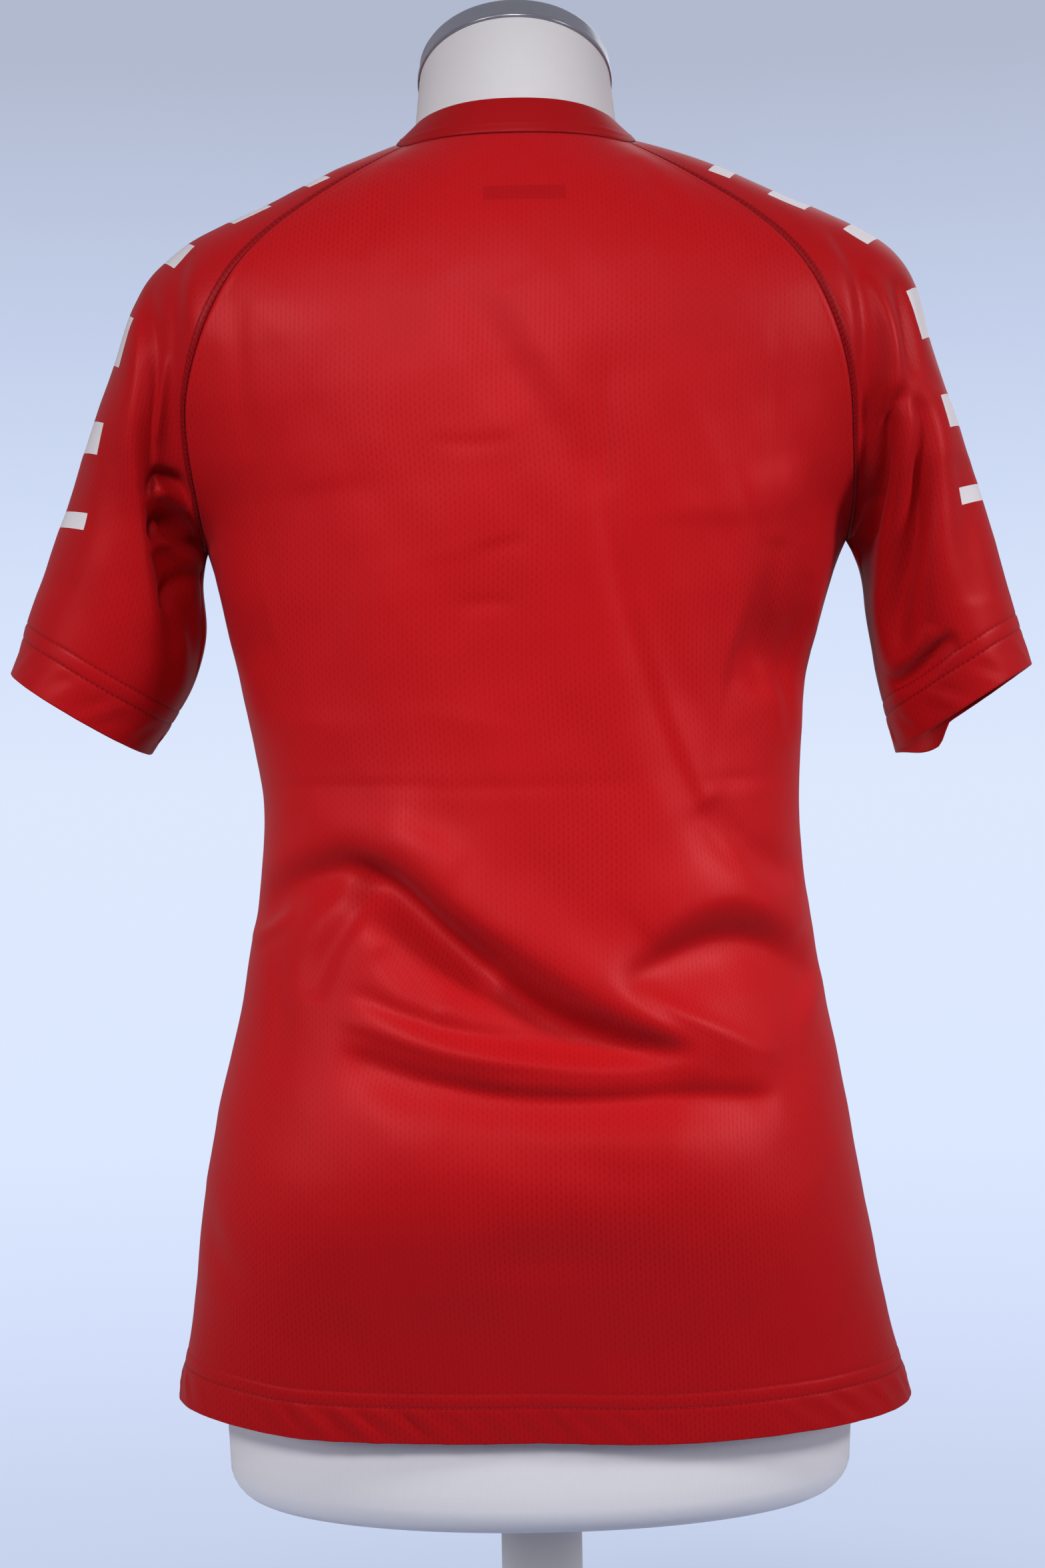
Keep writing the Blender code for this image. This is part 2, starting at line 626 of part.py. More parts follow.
def make_form():
    loops = []
    for turn in np.radians((10, 40, 70)):
        inset = FORM_CORNER * (1 - math.sin(turn))
        drop = FORM_CORNER * (1 - math.cos(turn))
        loops.append(form_loop(FORM[0]._replace(height=FORM_BOTTOM + drop), inset))
    heights = column(FORM, "height")
    trunk = np.linspace(FORM[0].height, FORM_CHEST, 17)
    for height in np.concatenate([trunk, [h for h in heights if h > FORM_CHEST]]):
        values = [float(smooth(height, heights, column(FORM, name))) for name in Form._fields[1:]]
        loops.append(form_loop(Form(height, *values)))
    top = form_loop(Form(NECK_TOP, NECK_RADIUS, NECK_RADIUS, NECK_RADIUS, 2.0))
    top[:, 2] -= top[:, 1] * math.tan(math.radians(NECK_TILT))
    loops.append(top)
    loops[0][:, 2] = FORM_BOTTOM
    form = add_loops("form_body", loops, False, FORM_WHITE)
    cutter = add_cylinder("pole_socket", POLE_RADIUS + SEAM_GAP, FORM_BOTTOM - CUT_MARGIN,
                          FORM_BOTTOM + POLE_SOCKET)
    helpers = bpy.data.collections.new("cutters")
    helpers.hide_render = True
    bpy.context.scene.collection.children.link(helpers)
    move_to(cutter, helpers)
    cutter.hide_render = True
    cutter.display_type = "WIRE"
    cut = form.modifiers.new("socket", "BOOLEAN")
    cut.operation = "DIFFERENCE"
    cut.solver = "EXACT"
    cut.object = cutter
    return form


def add_cylinder(name, radius, bottom, top):
    bpy.ops.mesh.primitive_cylinder_add(
        vertices=32, radius=radius * MM, depth=(top - bottom) * MM, location=(0, 0, (top + bottom) / 2 * MM)
    )
    obj = bpy.context.object
    obj.name = name
    bpy.ops.object.transform_apply(location=True, rotation=False, scale=True)
    return obj


def turned(name, profile, steps, finish):
    """Solid turned round the Z axis from a profile of (radius, height) that closes, or ends on the axis."""
    mesh = bpy.data.meshes.new(name)
    points = [(r * MM, 0, z * MM) for r, z in profile]
    mesh.from_pydata(points, [(k, k + 1) for k in range(len(points) - 1)], [])
    obj = bpy.data.objects.new(name, mesh)
    bpy.data.collections[COLLECTION].objects.link(obj)
    screw = obj.modifiers.new("turn", "SCREW")
    screw.axis = "Z"
    screw.angle = 2 * math.pi
    screw.steps = screw.render_steps = steps
    screw.use_merge_vertices = True
    screw.merge_threshold = WELD * MM
    screw.use_normal_calculate = True
    bpy.context.view_layer.objects.active = obj
    obj.select_set(True)
    bpy.ops.object.modifier_apply(modifier="turn")
    obj.select_set(False)
    face_out(obj)
    paint(obj, finish)
    return obj


def make_cap():
    """Slanted metal cap on the neck: a band with a small lip, its top slightly domed."""
    t = CAP_THICKNESS
    profile = (
        (0, 0), (CAP_RADIUS - 2, 0), (CAP_RADIUS, 0.8), (CAP_RADIUS, 2.6), (CAP_RADIUS - 1, 3.4),
        (CAP_RADIUS - 1, t - 3), (CAP_RADIUS - 2, t - 1), (CAP_RADIUS - 5, t), (CAP_RADIUS / 2, t + 2.5),
        (0, t + 3.5),
    )
    cap = turned("neck_cap", profile, 40, CHROME)
    stretch = 1 / math.cos(math.radians(NECK_TILT))
    cap.scale = (1, stretch, 1)
    cap.rotation_euler = (math.radians(-NECK_TILT), 0, 0)
    cap.location = (0, 0, (NECK_TOP + SEAM_GAP / math.cos(math.radians(NECK_TILT))) * MM)
    cap.select_set(True)
    bpy.ops.object.transform_apply(location=True, rotation=True, scale=True)
    cap.select_set(False)


def make_stand():
    top = FORM_BOTTOM + POLE_SOCKET - SEAM_GAP
    pole = add_cylinder("stand_pole", POLE_RADIUS, BASE_THICKNESS + SEAM_GAP, top)
    move_to(pole, bpy.data.collections[COLLECTION])
    paint(pole, POLE_GREY)
    plate = (
        (0, 0), (BASE_RADIUS - 1.5, 0), (BASE_RADIUS, 1.5), (BASE_RADIUS, BASE_THICKNESS - 4),
        (BASE_RADIUS - 1.2, BASE_THICKNESS - 1.2), (BASE_RADIUS - 4, BASE_THICKNESS), (0, BASE_THICKNESS),
    )
    turned("base_plate", plate, 40, BASE_GREY)
    hole = POLE_RADIUS + POLE_CLEARANCE
    seat = BASE_THICKNESS + SEAM_GAP
    rim = BASE_THICKNESS + FLANGE_HEIGHT
    flange = (
        (hole, seat), (FLANGE_RADIUS, seat), (FLANGE_RADIUS - 2, seat + 3), (hole + 5, rim - 4),
        (hole + 2, rim), (hole, rim), (hole, seat),
    )
    turned("pole_flange", flange, 40, BASE_GREY)


def main():
    clear_scene()
    bpy.context.scene.collection.children.link(bpy.data.collections.new(COLLECTION))
    form = make_form()
    tree = BVHTree.FromObject(form, bpy.context.evaluated_depsgraph_get())
    make_jersey(tree)
    make_neckband()
    make_cap()
    make_stand()


main()
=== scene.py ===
"""Dressed model of a raglan football jersey on a limbless dress form.

The jersey's shell is lofted from its cut in millimetres, on the same sections as its solids, and is then
creased by listed folds. Everything that is added to the scene is in metres, +Z up, floor at Z = 0.
The wearer faces +Y, so the back faces -Y and the wearer's right is +X.
"""

from __future__ import annotations

import logging
import math
from dataclasses import dataclass
from enum import Enum
from typing import NamedTuple, Sequence

import bmesh
import bpy
import numpy as np
from mathutils import Matrix, Vector
from mathutils.bvhtree import BVHTree


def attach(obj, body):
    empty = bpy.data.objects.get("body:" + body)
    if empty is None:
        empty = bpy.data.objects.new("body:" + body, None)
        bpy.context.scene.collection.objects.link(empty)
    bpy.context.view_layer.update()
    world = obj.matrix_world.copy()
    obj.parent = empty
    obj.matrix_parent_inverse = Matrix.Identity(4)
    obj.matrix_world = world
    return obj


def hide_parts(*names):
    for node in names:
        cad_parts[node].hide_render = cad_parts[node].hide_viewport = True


LOG = logging.getLogger("jersey")
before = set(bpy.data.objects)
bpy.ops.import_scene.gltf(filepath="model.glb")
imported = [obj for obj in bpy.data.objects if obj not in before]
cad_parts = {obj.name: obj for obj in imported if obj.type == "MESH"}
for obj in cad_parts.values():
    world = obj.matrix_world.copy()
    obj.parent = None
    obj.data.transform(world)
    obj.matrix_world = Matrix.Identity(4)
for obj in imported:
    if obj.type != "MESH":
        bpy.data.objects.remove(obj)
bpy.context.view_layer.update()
BODY = "root"
MM = 0.001

Colour = tuple[float, float, float]
Steps = Sequence[tuple[float, float]]
Array = np.ndarray


class Slot(Enum):
    """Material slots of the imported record."""

    JERSEY = "jersey_knit"
    SLEEVE = "sleeve_knit"
    NECKBAND = "neckband_knit"
    FORM = "form_cover"
    CAP = "cap_metal"
    POLE = "pole_enamel"
    BASE = "base_metal"


class Face(Enum):
    """Which way the cloth that a crease runs over looks."""

    BACK = -1
    FRONT = 1


class Area(Enum):
    """The panels that a crease runs over."""

    TORSO = ("back_panel", "front_panel")
    LEFT = ("sleeve_left",)
    RIGHT = ("sleeve_right",)


# ---------------------------------------------------------------- the cut, mm


class BodyLevel(NamedTuple):
    """Level section of the jersey below the armholes."""

    height: float
    left: float
    right: float
    back: float
    front: float
    fullness: float


BODY_LEVELS = (
    BodyLevel(255, 194.8, 201.0, 104, 107, 2.36),
    BodyLevel(300, 186.0, 188.6, 110, 107, 2.36),
    BodyLevel(350, 180.2, 178.6, 124, 107, 2.33),
    BodyLevel(376, 176.2, 174.0, 129, 108, 2.30),
    BodyLevel(400, 172.0, 170.0, 128, 109, 2.25),
    BodyLevel(425, 166.4, 166.0, 122.5, 110, 2.25),
    BodyLevel(450, 159.8, 161.3, 117, 111, 2.25),
    BodyLevel(500, 150.5, 152.5, 112.5, 113, 2.20),
    BodyLevel(540, 144.8, 147.8, 110, 115, 2.20),
    BodyLevel(575, 142.6, 146.5, 108, 117, 2.20),
    BodyLevel(605, 148.8, 149.2, 107, 119, 2.20),
    BodyLevel(635, 154.4, 152.0, 108, 121, 2.25),
    BodyLevel(670, 162.0, 161.2, 110, 122, 2.30),
    BodyLevel(690, 165.2, 165.0, 111, 122, 2.28),
    BodyLevel(708, 171.5, 174.0, 111.5, 122, 2.22),
)


class YokeMiddle(NamedTuple):
    """Centre line of the back and of the front at one raglan row."""

    back: float
    back_height: float
    front: float
    front_height: float


YOKE = (
    YokeMiddle(68, 916, 84, 850),
    YokeMiddle(79, 899, 90, 839),
    YokeMiddle(88, 882, 96, 828),
    YokeMiddle(94.5, 867, 101, 817),
    YokeMiddle(100, 850, 106, 806),
    YokeMiddle(104.5, 830, 110.5, 794),
    YokeMiddle(108, 808, 114, 781),
    YokeMiddle(110, 788, 117, 768),
    YokeMiddle(111.5, 768, 119.5, 754),
    YokeMiddle(112, 748, 121.5, 740),
    YokeMiddle(112, 728, 122.5, 724),
    YokeMiddle(111.5, 708, 122, 708),
)


class RaglanRow(NamedTuple):
    """Both raglan seams and the outer line of the shoulder at one row, from the neck to the underarm."""

    back_x: float
    back_y: float
    back_z: float
    front_x: float
    front_y: float
    front_z: float
    outer_x: float
    outer_z: float
    half_angle: float


RAGLAN_RIGHT = (
    RaglanRow(60.5, -41, 917, 56, 50, 903, 69, 927.5, 50),
    RaglanRow(85, -56, 900, 78, 56, 887, 96, 914.5, 52),
    RaglanRow(109, -66, 882, 101, 62, 870, 123, 901.5, 56),
    RaglanRow(129, -73, 866, 120, 68, 855, 149, 889, 62),
    RaglanRow(144, -79, 848, 136, 73, 840, 176, 879, 70),
    RaglanRow(155, -82, 829, 149, 77, 823, 199.5, 865.5, 80),
    RaglanRow(163, -81, 808, 159, 77, 803, 213, 847, 92),
    RaglanRow(169, -76, 788, 166, 73, 784, 218.5, 823.5, 102),
    RaglanRow(171.5, -68, 768, 170.5, 65, 765, 225.5, 800.5, 114),
    RaglanRow(173, -56, 748, 172, 54, 746, 233.5, 776.5, 127),
    RaglanRow(175.5, -38, 729, 173.5, 37, 728, 240.5, 754.5, 143),
    RaglanRow(177, 0, 710, 177, 0, 710, 247, 732.5, 180),
)
RAGLAN_LEFT = (
    RaglanRow(60.5, -41, 917, 56, 50, 903, 69, 925.5, 50),
    RaglanRow(84, -56, 901, 78, 56, 887, 96, 910.5, 52),
    RaglanRow(108, -66, 883, 101, 62, 870, 122, 896.5, 56),
    RaglanRow(127, -73, 868, 120, 68, 855, 147, 885.5, 62),
    RaglanRow(143, -79, 850, 136, 73, 840, 171, 876, 70),
    RaglanRow(155, -82, 831, 149, 77, 823, 192, 862, 80),
    RaglanRow(164, -81, 809, 159, 77, 803, 205, 846, 92),
    RaglanRow(171.5, -76, 788, 166, 73, 784, 212, 824, 102),
    RaglanRow(174.5, -67, 768, 170.5, 65, 765, 222, 800, 114),
    RaglanRow(173.5, -55, 748, 172, 54, 746, 231.5, 775, 127),
    RaglanRow(172, -38, 728, 171.5, 37, 727, 240, 753, 143),
    RaglanRow(172.5, 0, 709, 172.5, 0, 709, 248, 733, 180),
)


class SleeveRing(NamedTuple):
    """Ring of a sleeve below the underarm."""

    inner_x: float
    inner_z: float
    outer_x: float
    outer_z: float
    half_depth: float
    centre_y: float
    tip: float
    sag: float


SLEEVE_RIGHT = (
    SleeveRing(185.3, 693, 253, 715, 59, 1, 0, 0),
    SleeveRing(185.3, 674, 258, 698, 58, 2, 0, 0),
    SleeveRing(189, 655, 263, 681, 56, 3, 2, 0),
    SleeveRing(193, 636, 267.5, 666, 55, 4, 2, 0),
    SleeveRing(197, 616, 272, 652, 54, 5, 4, 0),
    SleeveRing(203, 595, 275.5, 639.5, 53, 6, 6, 1),
)
SLEEVE_LEFT = (
    SleeveRing(177, 693, 254, 716, 59, 1, 0, 0),
    SleeveRing(173.5, 674, 260, 700, 58, 1, 0, 0),
    SleeveRing(176, 655, 266, 685, 56, 2, 0, 0),
    SleeveRing(183.3, 636, 271.5, 670, 55, 2, 0, 0),
    SleeveRing(194, 617, 275.5, 657, 54, 3, 0, 0),
    SleeveRing(206, 600, 279.5, 646, 53, 3, 0, 0),
)


class Loop(NamedTuple):
    """Closed curve round the neck; its height goes by the distance from the centre plane."""

    half_width: float
    back: float
    front: float
    fullness: float
    heights: tuple[tuple[float, float], ...]


NECKLINE = Loop(66.0, 68.0, 84.0, 2.3, ((-68, 916), (-41, 918), (0, 928), (30, 917), (55, 896), (84, 850)))
BAND_TOP = Loop(55.0, 60.0, 70.0, 2.2, ((-60, 937), (-30, 935.5), (0, 936), (25, 927), (50, 900), (70, 866)))


class FormLevel(NamedTuple):
    """Level section of the dress form."""

    height: float
    half_width: float
    back: float
    front: float
    fullness: float


FORM_LEVELS = (
    FormLevel(221, 168.5, 94, 99, 2.05),
    FormLevel(260, 170.0, 96, 101, 2.10),
    FormLevel(310, 168.0, 105.5, 101, 2.20),
    FormLevel(350, 163.0, 115.5, 99, 2.20),
    FormLevel(400, 152.0, 116.5, 94, 2.20),
    FormLevel(450, 138.0, 98, 87, 2.20),
    FormLevel(500, 126.0, 88, 81, 2.15),
    FormLevel(540, 120.0, 86, 79, 2.15),
    FormLevel(580, 121.0, 85, 82, 2.15),
    FormLevel(620, 128.0, 88, 90, 2.15),
    FormLevel(660, 137.0, 92, 101, 2.20),
    FormLevel(700, 145.0, 96, 111, 2.20),
    FormLevel(735, 149.0, 99, 114, 2.20),
    FormLevel(770, 155.0, 101, 107, 2.20),
    FormLevel(800, 168.0, 101, 97, 2.20),
    FormLevel(825, 181.0, 99, 87, 2.20),
    FormLevel(845, 187.0, 95, 74, 2.10),
    FormLevel(862, 184.5, 89, 64, 1.98),
    FormLevel(876, 165.0, 82, 59, 1.80),
    FormLevel(888, 139.5, 74, 56, 1.60),
    FormLevel(900, 113.0, 66, 53.5, 1.45),
    FormLevel(912, 86.0, 58, 52.4, 1.36),
    FormLevel(924, 59.5, 53.2, 52, 1.55),
    FormLevel(934, 53.0, 52.2, 52, 2.00),
)


# ---------------------------------------------------------------- the folds, mm


class Crease(NamedTuple):
    """Soft trough (depth below 0) or ridge (above 0) through points (x, z) seen square from its side.

    above and below are its half-widths on either side of the line, the upper or left one first.
    """

    face: Face
    area: Area
    depth: float
    above: float
    below: float
    points: tuple[tuple[float, float], ...]


B, F = Face.BACK, Face.FRONT
TORSO, LEFT, RIGHT = Area.TORSO, Area.LEFT, Area.RIGHT

CREASES = (
    # small of the back: two long folds that cross it, and the bulges between them
    Crease(B, TORSO, -10.0, 9, 15, (
        (-156, 503), (-148, 509), (-140, 517), (-130, 526), (-118, 533), (-105, 537), (-93, 538),
        (-80, 534), (-66, 525), (-50, 510), (-32, 494), (-14, 478)
    )),
    Crease(B, TORSO, 3.0, 4, 4, ((-151, 500), (-143, 504), (-134, 510), (-124, 517))),
    Crease(B, TORSO, -13.5, 6.5, 20, (
        (-100, 541), (-84, 535), (-70, 528), (-58, 518), (-34, 498), (-14, 481), (12, 463), (34, 454),
        (56, 447), (84, 441)
    )),
    Crease(B, TORSO, 7.5, 20, 11, (
        (-90, 558), (-64, 546), (-46, 532), (-24, 514), (-4, 500), (22, 483), (46, 468), (75, 455),
        (104, 444), (136, 434)
    )),
    Crease(B, TORSO, 2.0, 5, 4, ((40, 484), (60, 472), (80, 460), (104, 448), (128, 438))),
    Crease(B, TORSO, -2.6, 5, 4, ((-96, 480), (-84, 474), (-62, 465), (-36, 457), (-4, 452), (30, 448))),
    Crease(B, TORSO, 3.8, 8, 4, (
        (-104, 466), (-90, 462), (-54, 450), (-20, 443), (10, 440), (42, 438), (74, 438), (98, 436)
    )),
    Crease(B, TORSO, -8.4, 5, 18, (
        (-104, 448), (-84, 443), (-60, 436), (-34, 430), (-10, 426), (20, 424), (51, 424), (80, 424),
        (108, 421), (130, 417)
    )),
    Crease(B, TORSO, -9.5, 9, 24, (
        (44, 470), (52, 479), (66, 488), (84, 496), (104, 499), (122, 495), (136, 486), (147, 478),
        (157, 471)
    )),
    Crease(B, TORSO, 4.0, 22, 9, ((54, 500), (70, 512), (88, 520), (108, 521), (128, 512), (146, 498))),
    Crease(B, TORSO, -3.4, 9, 5, (
        (-80, 533), (-86, 524), (-93, 512), (-102, 498), (-108, 484), (-112, 470)
    )),
    Crease(B, TORSO, -2.4, 10, 8, ((-78, 500), (-66, 489), (-54, 478), (-44, 468))),
    Crease(B, TORSO, -1.6, 5, 6, ((-133, 500), (-131, 480), (-130, 458), (-132, 430))),
    # long drag line from the shoulder blade down to the right hip
    Crease(B, TORSO, -2.6, 11, 4, (
        (44, 800), (42, 766), (43, 712), (50, 672), (60, 635), (73, 597), (84, 571), (97, 545), (112, 522)
    )),
    Crease(B, TORSO, -2.0, 13, 15, (
        (48, 814), (44, 790), (42, 764), (43, 742), (47, 714), (53, 686), (60, 657), (71, 629), (84, 603),
        (98, 580), (114, 556), (128, 530), (140, 508)
    )),
    Crease(B, TORSO, 1.6, 16, 10, (
        (28, 770), (34, 735), (42, 700), (50, 670), (60, 642), (74, 611), (92, 580), (108, 550), (124, 520)
    )),
    Crease(B, TORSO, -3.0, 26, 26, ((90, 720), (93, 680), (100, 640), (112, 600), (120, 572))),
    Crease(B, TORSO, 2.0, 10, 12, ((-120, 566), (-90, 560), (-60, 552), (-30, 536))),
    Crease(B, TORSO, -2.4, 16, 12, ((-36, 840), (-20, 816), (-6, 792), (8, 770), (24, 746), (40, 716))),
    Crease(B, TORSO, 1.2, 14, 16, ((-8, 836), (12, 800), (28, 766), (38, 740))),
    Crease(B, TORSO, -1.6, 26, 22, ((-100, 740), (-98, 700), (-104, 650), (-110, 610))),
    Crease(B, TORSO, -1.3, 24, 24, ((-30, 700), (-24, 660), (-30, 610))),
    Crease(B, TORSO, -4.0, 9, 10, ((90, 572), (101, 556), (117, 541), (131, 534), (146, 530))),
    # hollows under the arms
    Crease(B, TORSO, -10.0, 27, 18, ((108, 650), (124, 645), (142, 641), (160, 642))),
    Crease(B, TORSO, 2.2, 14, 18, ((112, 722), (130, 727), (150, 729))),
    Crease(B, TORSO, -2.4, 8, 6, ((131, 706), (128, 676), (126, 644), (124, 618))),
    Crease(B, TORSO, -2.0, 6, 6, ((150, 690), (147, 660), (143, 628), (140, 596))),
    Crease(B, TORSO, -2.6, 26, 14, ((-160, 650), (-146, 652), (-128, 656))),
    # seat
    Crease(B, TORSO, -1.8, 12, 12, ((-50, 410), (-16, 400), (15, 395), (42, 389), (70, 383))),
    Crease(B, TORSO, -1.2, 14, 12, ((-40, 347), (10, 343), (70, 347))),
    Crease(B, TORSO, -1.6, 9, 9, ((-176, 372), (-168, 340), (-150, 318))),
    # faint folds left by the packing
    Crease(B, TORSO, -0.5, 3, 3, ((-140, 840), (-140, 769), (-135, 722), (-126, 660), (-117, 606))),
    Crease(B, TORSO, -0.5, 3, 3, ((131, 826), (126, 733), (121, 694), (105, 628), (92, 572))),
    Crease(B, TORSO, -0.55, 2.5, 4, ((-140, 581), (-90, 581), (-40, 580))),
    Crease(B, TORSO, -0.45, 3, 4, ((-56, 579), (0, 579), (60, 580))),
    Crease(B, TORSO, -0.6, 3, 4, ((84, 580), (110, 580), (140, 582))),
    Crease(B, TORSO, -0.6, 3, 5, ((-27, 696), (-13, 699), (2, 703))),
    Crease(B, TORSO, -0.5, 3, 5, ((-48, 753), (-24, 750), (0, 753))),
    Crease(B, TORSO, -0.6, 3, 5, ((-36, 668), (-20, 671), (-3, 669))),
    Crease(B, TORSO, -1.3, 4, 8, ((4, 913), (-4, 905), (-14, 898), (-26, 890), (-36, 880))),
    Crease(B, TORSO, -1.4, 8, 6, ((60, 905), (66, 893), (76, 878), (90, 862))),
    Crease(B, TORSO, -1.2, 6, 9, ((-62, 905), (-66, 888), (-74, 868), (-86, 846))),
    Crease(B, TORSO, -0.7, 3, 6, ((-149, 845), (-146, 810), (-143, 780), (-141, 745))),
    # left sleeve, back
    Crease(B, LEFT, -8.0, 15, 8, (
        (-170, 872), (-178, 850), (-180, 832), (-180, 809), (-182, 788), (-183, 767), (-183, 746),
        (-181, 727), (-179, 704), (-177, 683), (-175, 655), (-176, 620)
    )),
    Crease(B, LEFT, -4.5, 3, 6, (
        (-196, 856), (-194, 832), (-192, 809), (-192, 788), (-194, 767), (-195, 746), (-193, 727),
        (-190, 704), (-187, 683), (-183, 650)
    )),
    Crease(B, LEFT, 3.0, 9, 3, (
        (-201, 846), (-199, 826), (-198, 805), (-199, 781), (-201, 760), (-200, 735), (-198, 704),
        (-195, 675), (-192, 650)
    )),
    Crease(B, LEFT, 2.5, 4, 4, ((-186, 806), (-186, 780), (-188, 756))),
    Crease(B, LEFT, -5.5, 2.6, 4, (
        (-198, 731), (-192, 738), (-187, 742), (-181, 741), (-174, 733), (-168, 722)
    )),
    Crease(B, LEFT, 3.6, 3, 3.5, ((-196, 727), (-190, 732), (-184, 733), (-178, 729), (-170, 720))),
    Crease(B, LEFT, -8.5, 3, 4, (
        (-194, 710), (-189, 718), (-184, 721), (-180, 717), (-176, 711), (-171, 713), (-160, 704)
    )),
    Crease(B, LEFT, 4.5, 3, 3, ((-193, 703), (-188, 709), (-182, 709), (-177, 702), (-168, 700))),
    Crease(B, LEFT, -6.5, 3, 3, ((-188, 672), (-184, 685), (-179, 692), (-173, 697), (-164, 698))),
    Crease(B, LEFT, 3.5, 5, 4, ((-184, 686), (-181, 672), (-181, 652), (-185, 630), (-192, 612))),
    Crease(B, LEFT, -4.0, 4, 5, ((-176, 690), (-174, 676), (-175, 655), (-179, 634))),
    Crease(B, LEFT, -2.2, 14, 12, ((-232, 760), (-238, 720), (-246, 680))),
    # right sleeve, back
    Crease(B, RIGHT, -6.0, 5, 15, (
        (160, 872), (171, 850), (176, 830), (178, 809), (178, 788), (176, 757), (175, 733), (177, 706),
        (181, 670)
    )),
    Crease(B, RIGHT, 4.2, 4, 6, ((180, 846), (187, 826), (191, 808), (192, 792), (190, 776), (187, 762))),
    Crease(B, RIGHT, -4.5, 4, 5, ((196, 842), (200, 822), (202, 802), (203, 784))),
    Crease(B, RIGHT, -8.5, 4, 3, (
        (205, 780), (197, 777), (191, 764), (187, 739), (183, 715), (181, 690), (182, 669), (187, 648)
    )),
    Crease(B, RIGHT, 3.8, 4.5, 4.5, (
        (201, 776), (198, 752), (194, 722), (190, 697), (189, 672), (192, 648), (199, 630)
    )),
    Crease(B, RIGHT, -8.5, 3, 6, (
        (200, 780), (207, 768), (206, 744), (203, 714), (198, 687), (196, 662), (201, 640)
    )),
    Crease(B, RIGHT, 3.0, 8, 10, ((213, 790), (216, 756), (217, 721), (214, 676), (212, 652))),
    Crease(B, RIGHT, -3.0, 10, 9, ((232, 750), (235, 706), (240, 668))),
    Crease(B, RIGHT, -5.5, 3, 6, ((196, 628), (203, 633), (209, 639), (215, 646), (226, 654))),
    Crease(B, RIGHT, 2.5, 4, 4, ((194, 636), (201, 642), (208, 650), (214, 660))),
    # front, as such a jersey hangs from the bust
    Crease(F, TORSO, -4.0, 14, 16, ((-128, 712), (-90, 660), (-40, 606), (20, 566))),
    Crease(F, TORSO, 2.5, 12, 14, ((-104, 716), (-66, 664), (-20, 616), (30, 584))),
    Crease(F, TORSO, -4.2, 14, 13, ((126, 716), (104, 650), (76, 588), (36, 530))),
    Crease(F, TORSO, 2.4, 10, 12, ((104, 700), (84, 644), (58, 590), (22, 544))),
    Crease(F, TORSO, -5.5, 9, 9, ((-134, 478), (-100, 466), (-50, 448), (10, 436), (66, 438))),
    Crease(F, TORSO, 3.5, 9, 11, ((-110, 488), (-60, 468), (0, 456), (50, 456))),
    Crease(F, TORSO, -4.5, 8, 8, ((136, 488), (96, 470), (40, 452), (-24, 440))),
    Crease(F, TORSO, -3.0, 8, 8, ((-96, 524), (-52, 506), (4, 500), (48, 508))),
    Crease(F, TORSO, -2.0, 12, 12, ((-60, 395), (0, 386), (64, 394))),
    Crease(F, TORSO, -1.4, 12, 12, ((-110, 350), (-96, 318), (-92, 290))),
    Crease(F, TORSO, -1.6, 11, 12, ((96, 356), (110, 322), (118, 292))),
    Crease(F, TORSO, -1.4, 6, 7, ((-48, 838), (-66, 800), (-88, 770))),
    Crease(F, TORSO, -1.4, 6, 7, ((46, 836), (70, 802), (98, 778))),
    Crease(F, TORSO, -0.5, 3, 3, ((-128, 780), (-126, 640), (-118, 400), (-120, 300))),
    Crease(F, TORSO, -0.5, 3, 3, ((124, 780), (122, 640), (112, 400), (116, 300))),
    Crease(F, TORSO, -0.7, 3, 3, ((-140, 583), (-50, 582), (50, 583), (140, 582))),
    Crease(F, RIGHT, -5.0, 9, 10, ((204, 806), (196, 750), (194, 690), (200, 636))),
    Crease(F, RIGHT, 2.5, 8, 9, ((222, 800), (218, 740), (220, 680))),
    Crease(F, RIGHT, -2.5, 5, 5, ((176, 742), (184, 730), (196, 726))),
    Crease(F, LEFT, -5.0, 9, 10, ((-202, 812), (-194, 752), (-190, 700), (-196, 640))),
    Crease(F, LEFT, 2.5, 8, 8, ((-220, 796), (-216, 742), (-222, 684))),
    Crease(F, LEFT, -2.5, 5, 5, ((-174, 744), (-186, 732), (-198, 730))),
)


# ---------------------------------------------------------------- small curve tools


def smooth(at: Array | float, xs: Sequence[float], ys: Sequence[float]) -> Array:
    """Monotone cubic through a table.

    Args:
        at: Where to read it.
        xs: Rising positions.
        ys: Values at them.

    Returns:
        The values read.
    """
    xs, ys = np.asarray(xs, float), np.asarray(ys, float)
    at = np.clip(np.asarray(at, float), xs[0], xs[-1])
    step = np.diff(xs)
    slope = np.diff(ys) / step
    inner = np.zeros(len(xs) - 2)
    same = slope[:-1] * slope[1:] > 0
    one, two = 2 * step[1:] + step[:-1], step[1:] + 2 * step[:-1]
    inner[same] = ((one + two)[same]) / (one[same] / slope[:-1][same] + two[same] / slope[1:][same])
    tangent = np.concatenate(([slope[0]], inner, [slope[-1]]))
    k = np.clip(np.searchsorted(xs, at, side="right") - 1, 0, len(xs) - 2)
    t = (at - xs[k]) / step[k]
    rise = (1 + 2 * t) * (1 - t) ** 2 * ys[k] + t * t * (3 - 2 * t) * ys[k + 1]
    return rise + step[k] * (t * (1 - t) ** 2 * tangent[k] - t * t * (1 - t) * tangent[k + 1])


def along(points: Array) -> Array:
    """Distance run along a row of points, from 0 at the first."""
    return np.concatenate(([0], np.cumsum(np.linalg.norm(np.diff(points, axis=0), axis=1))))


def read_at(at: Array, length: Array, values: Array) -> Array:
    """Points or directions of a curve, read straight between its own at distances along it."""
    return np.stack([np.interp(at, length, values[:, k]) for k in range(3)], axis=1)


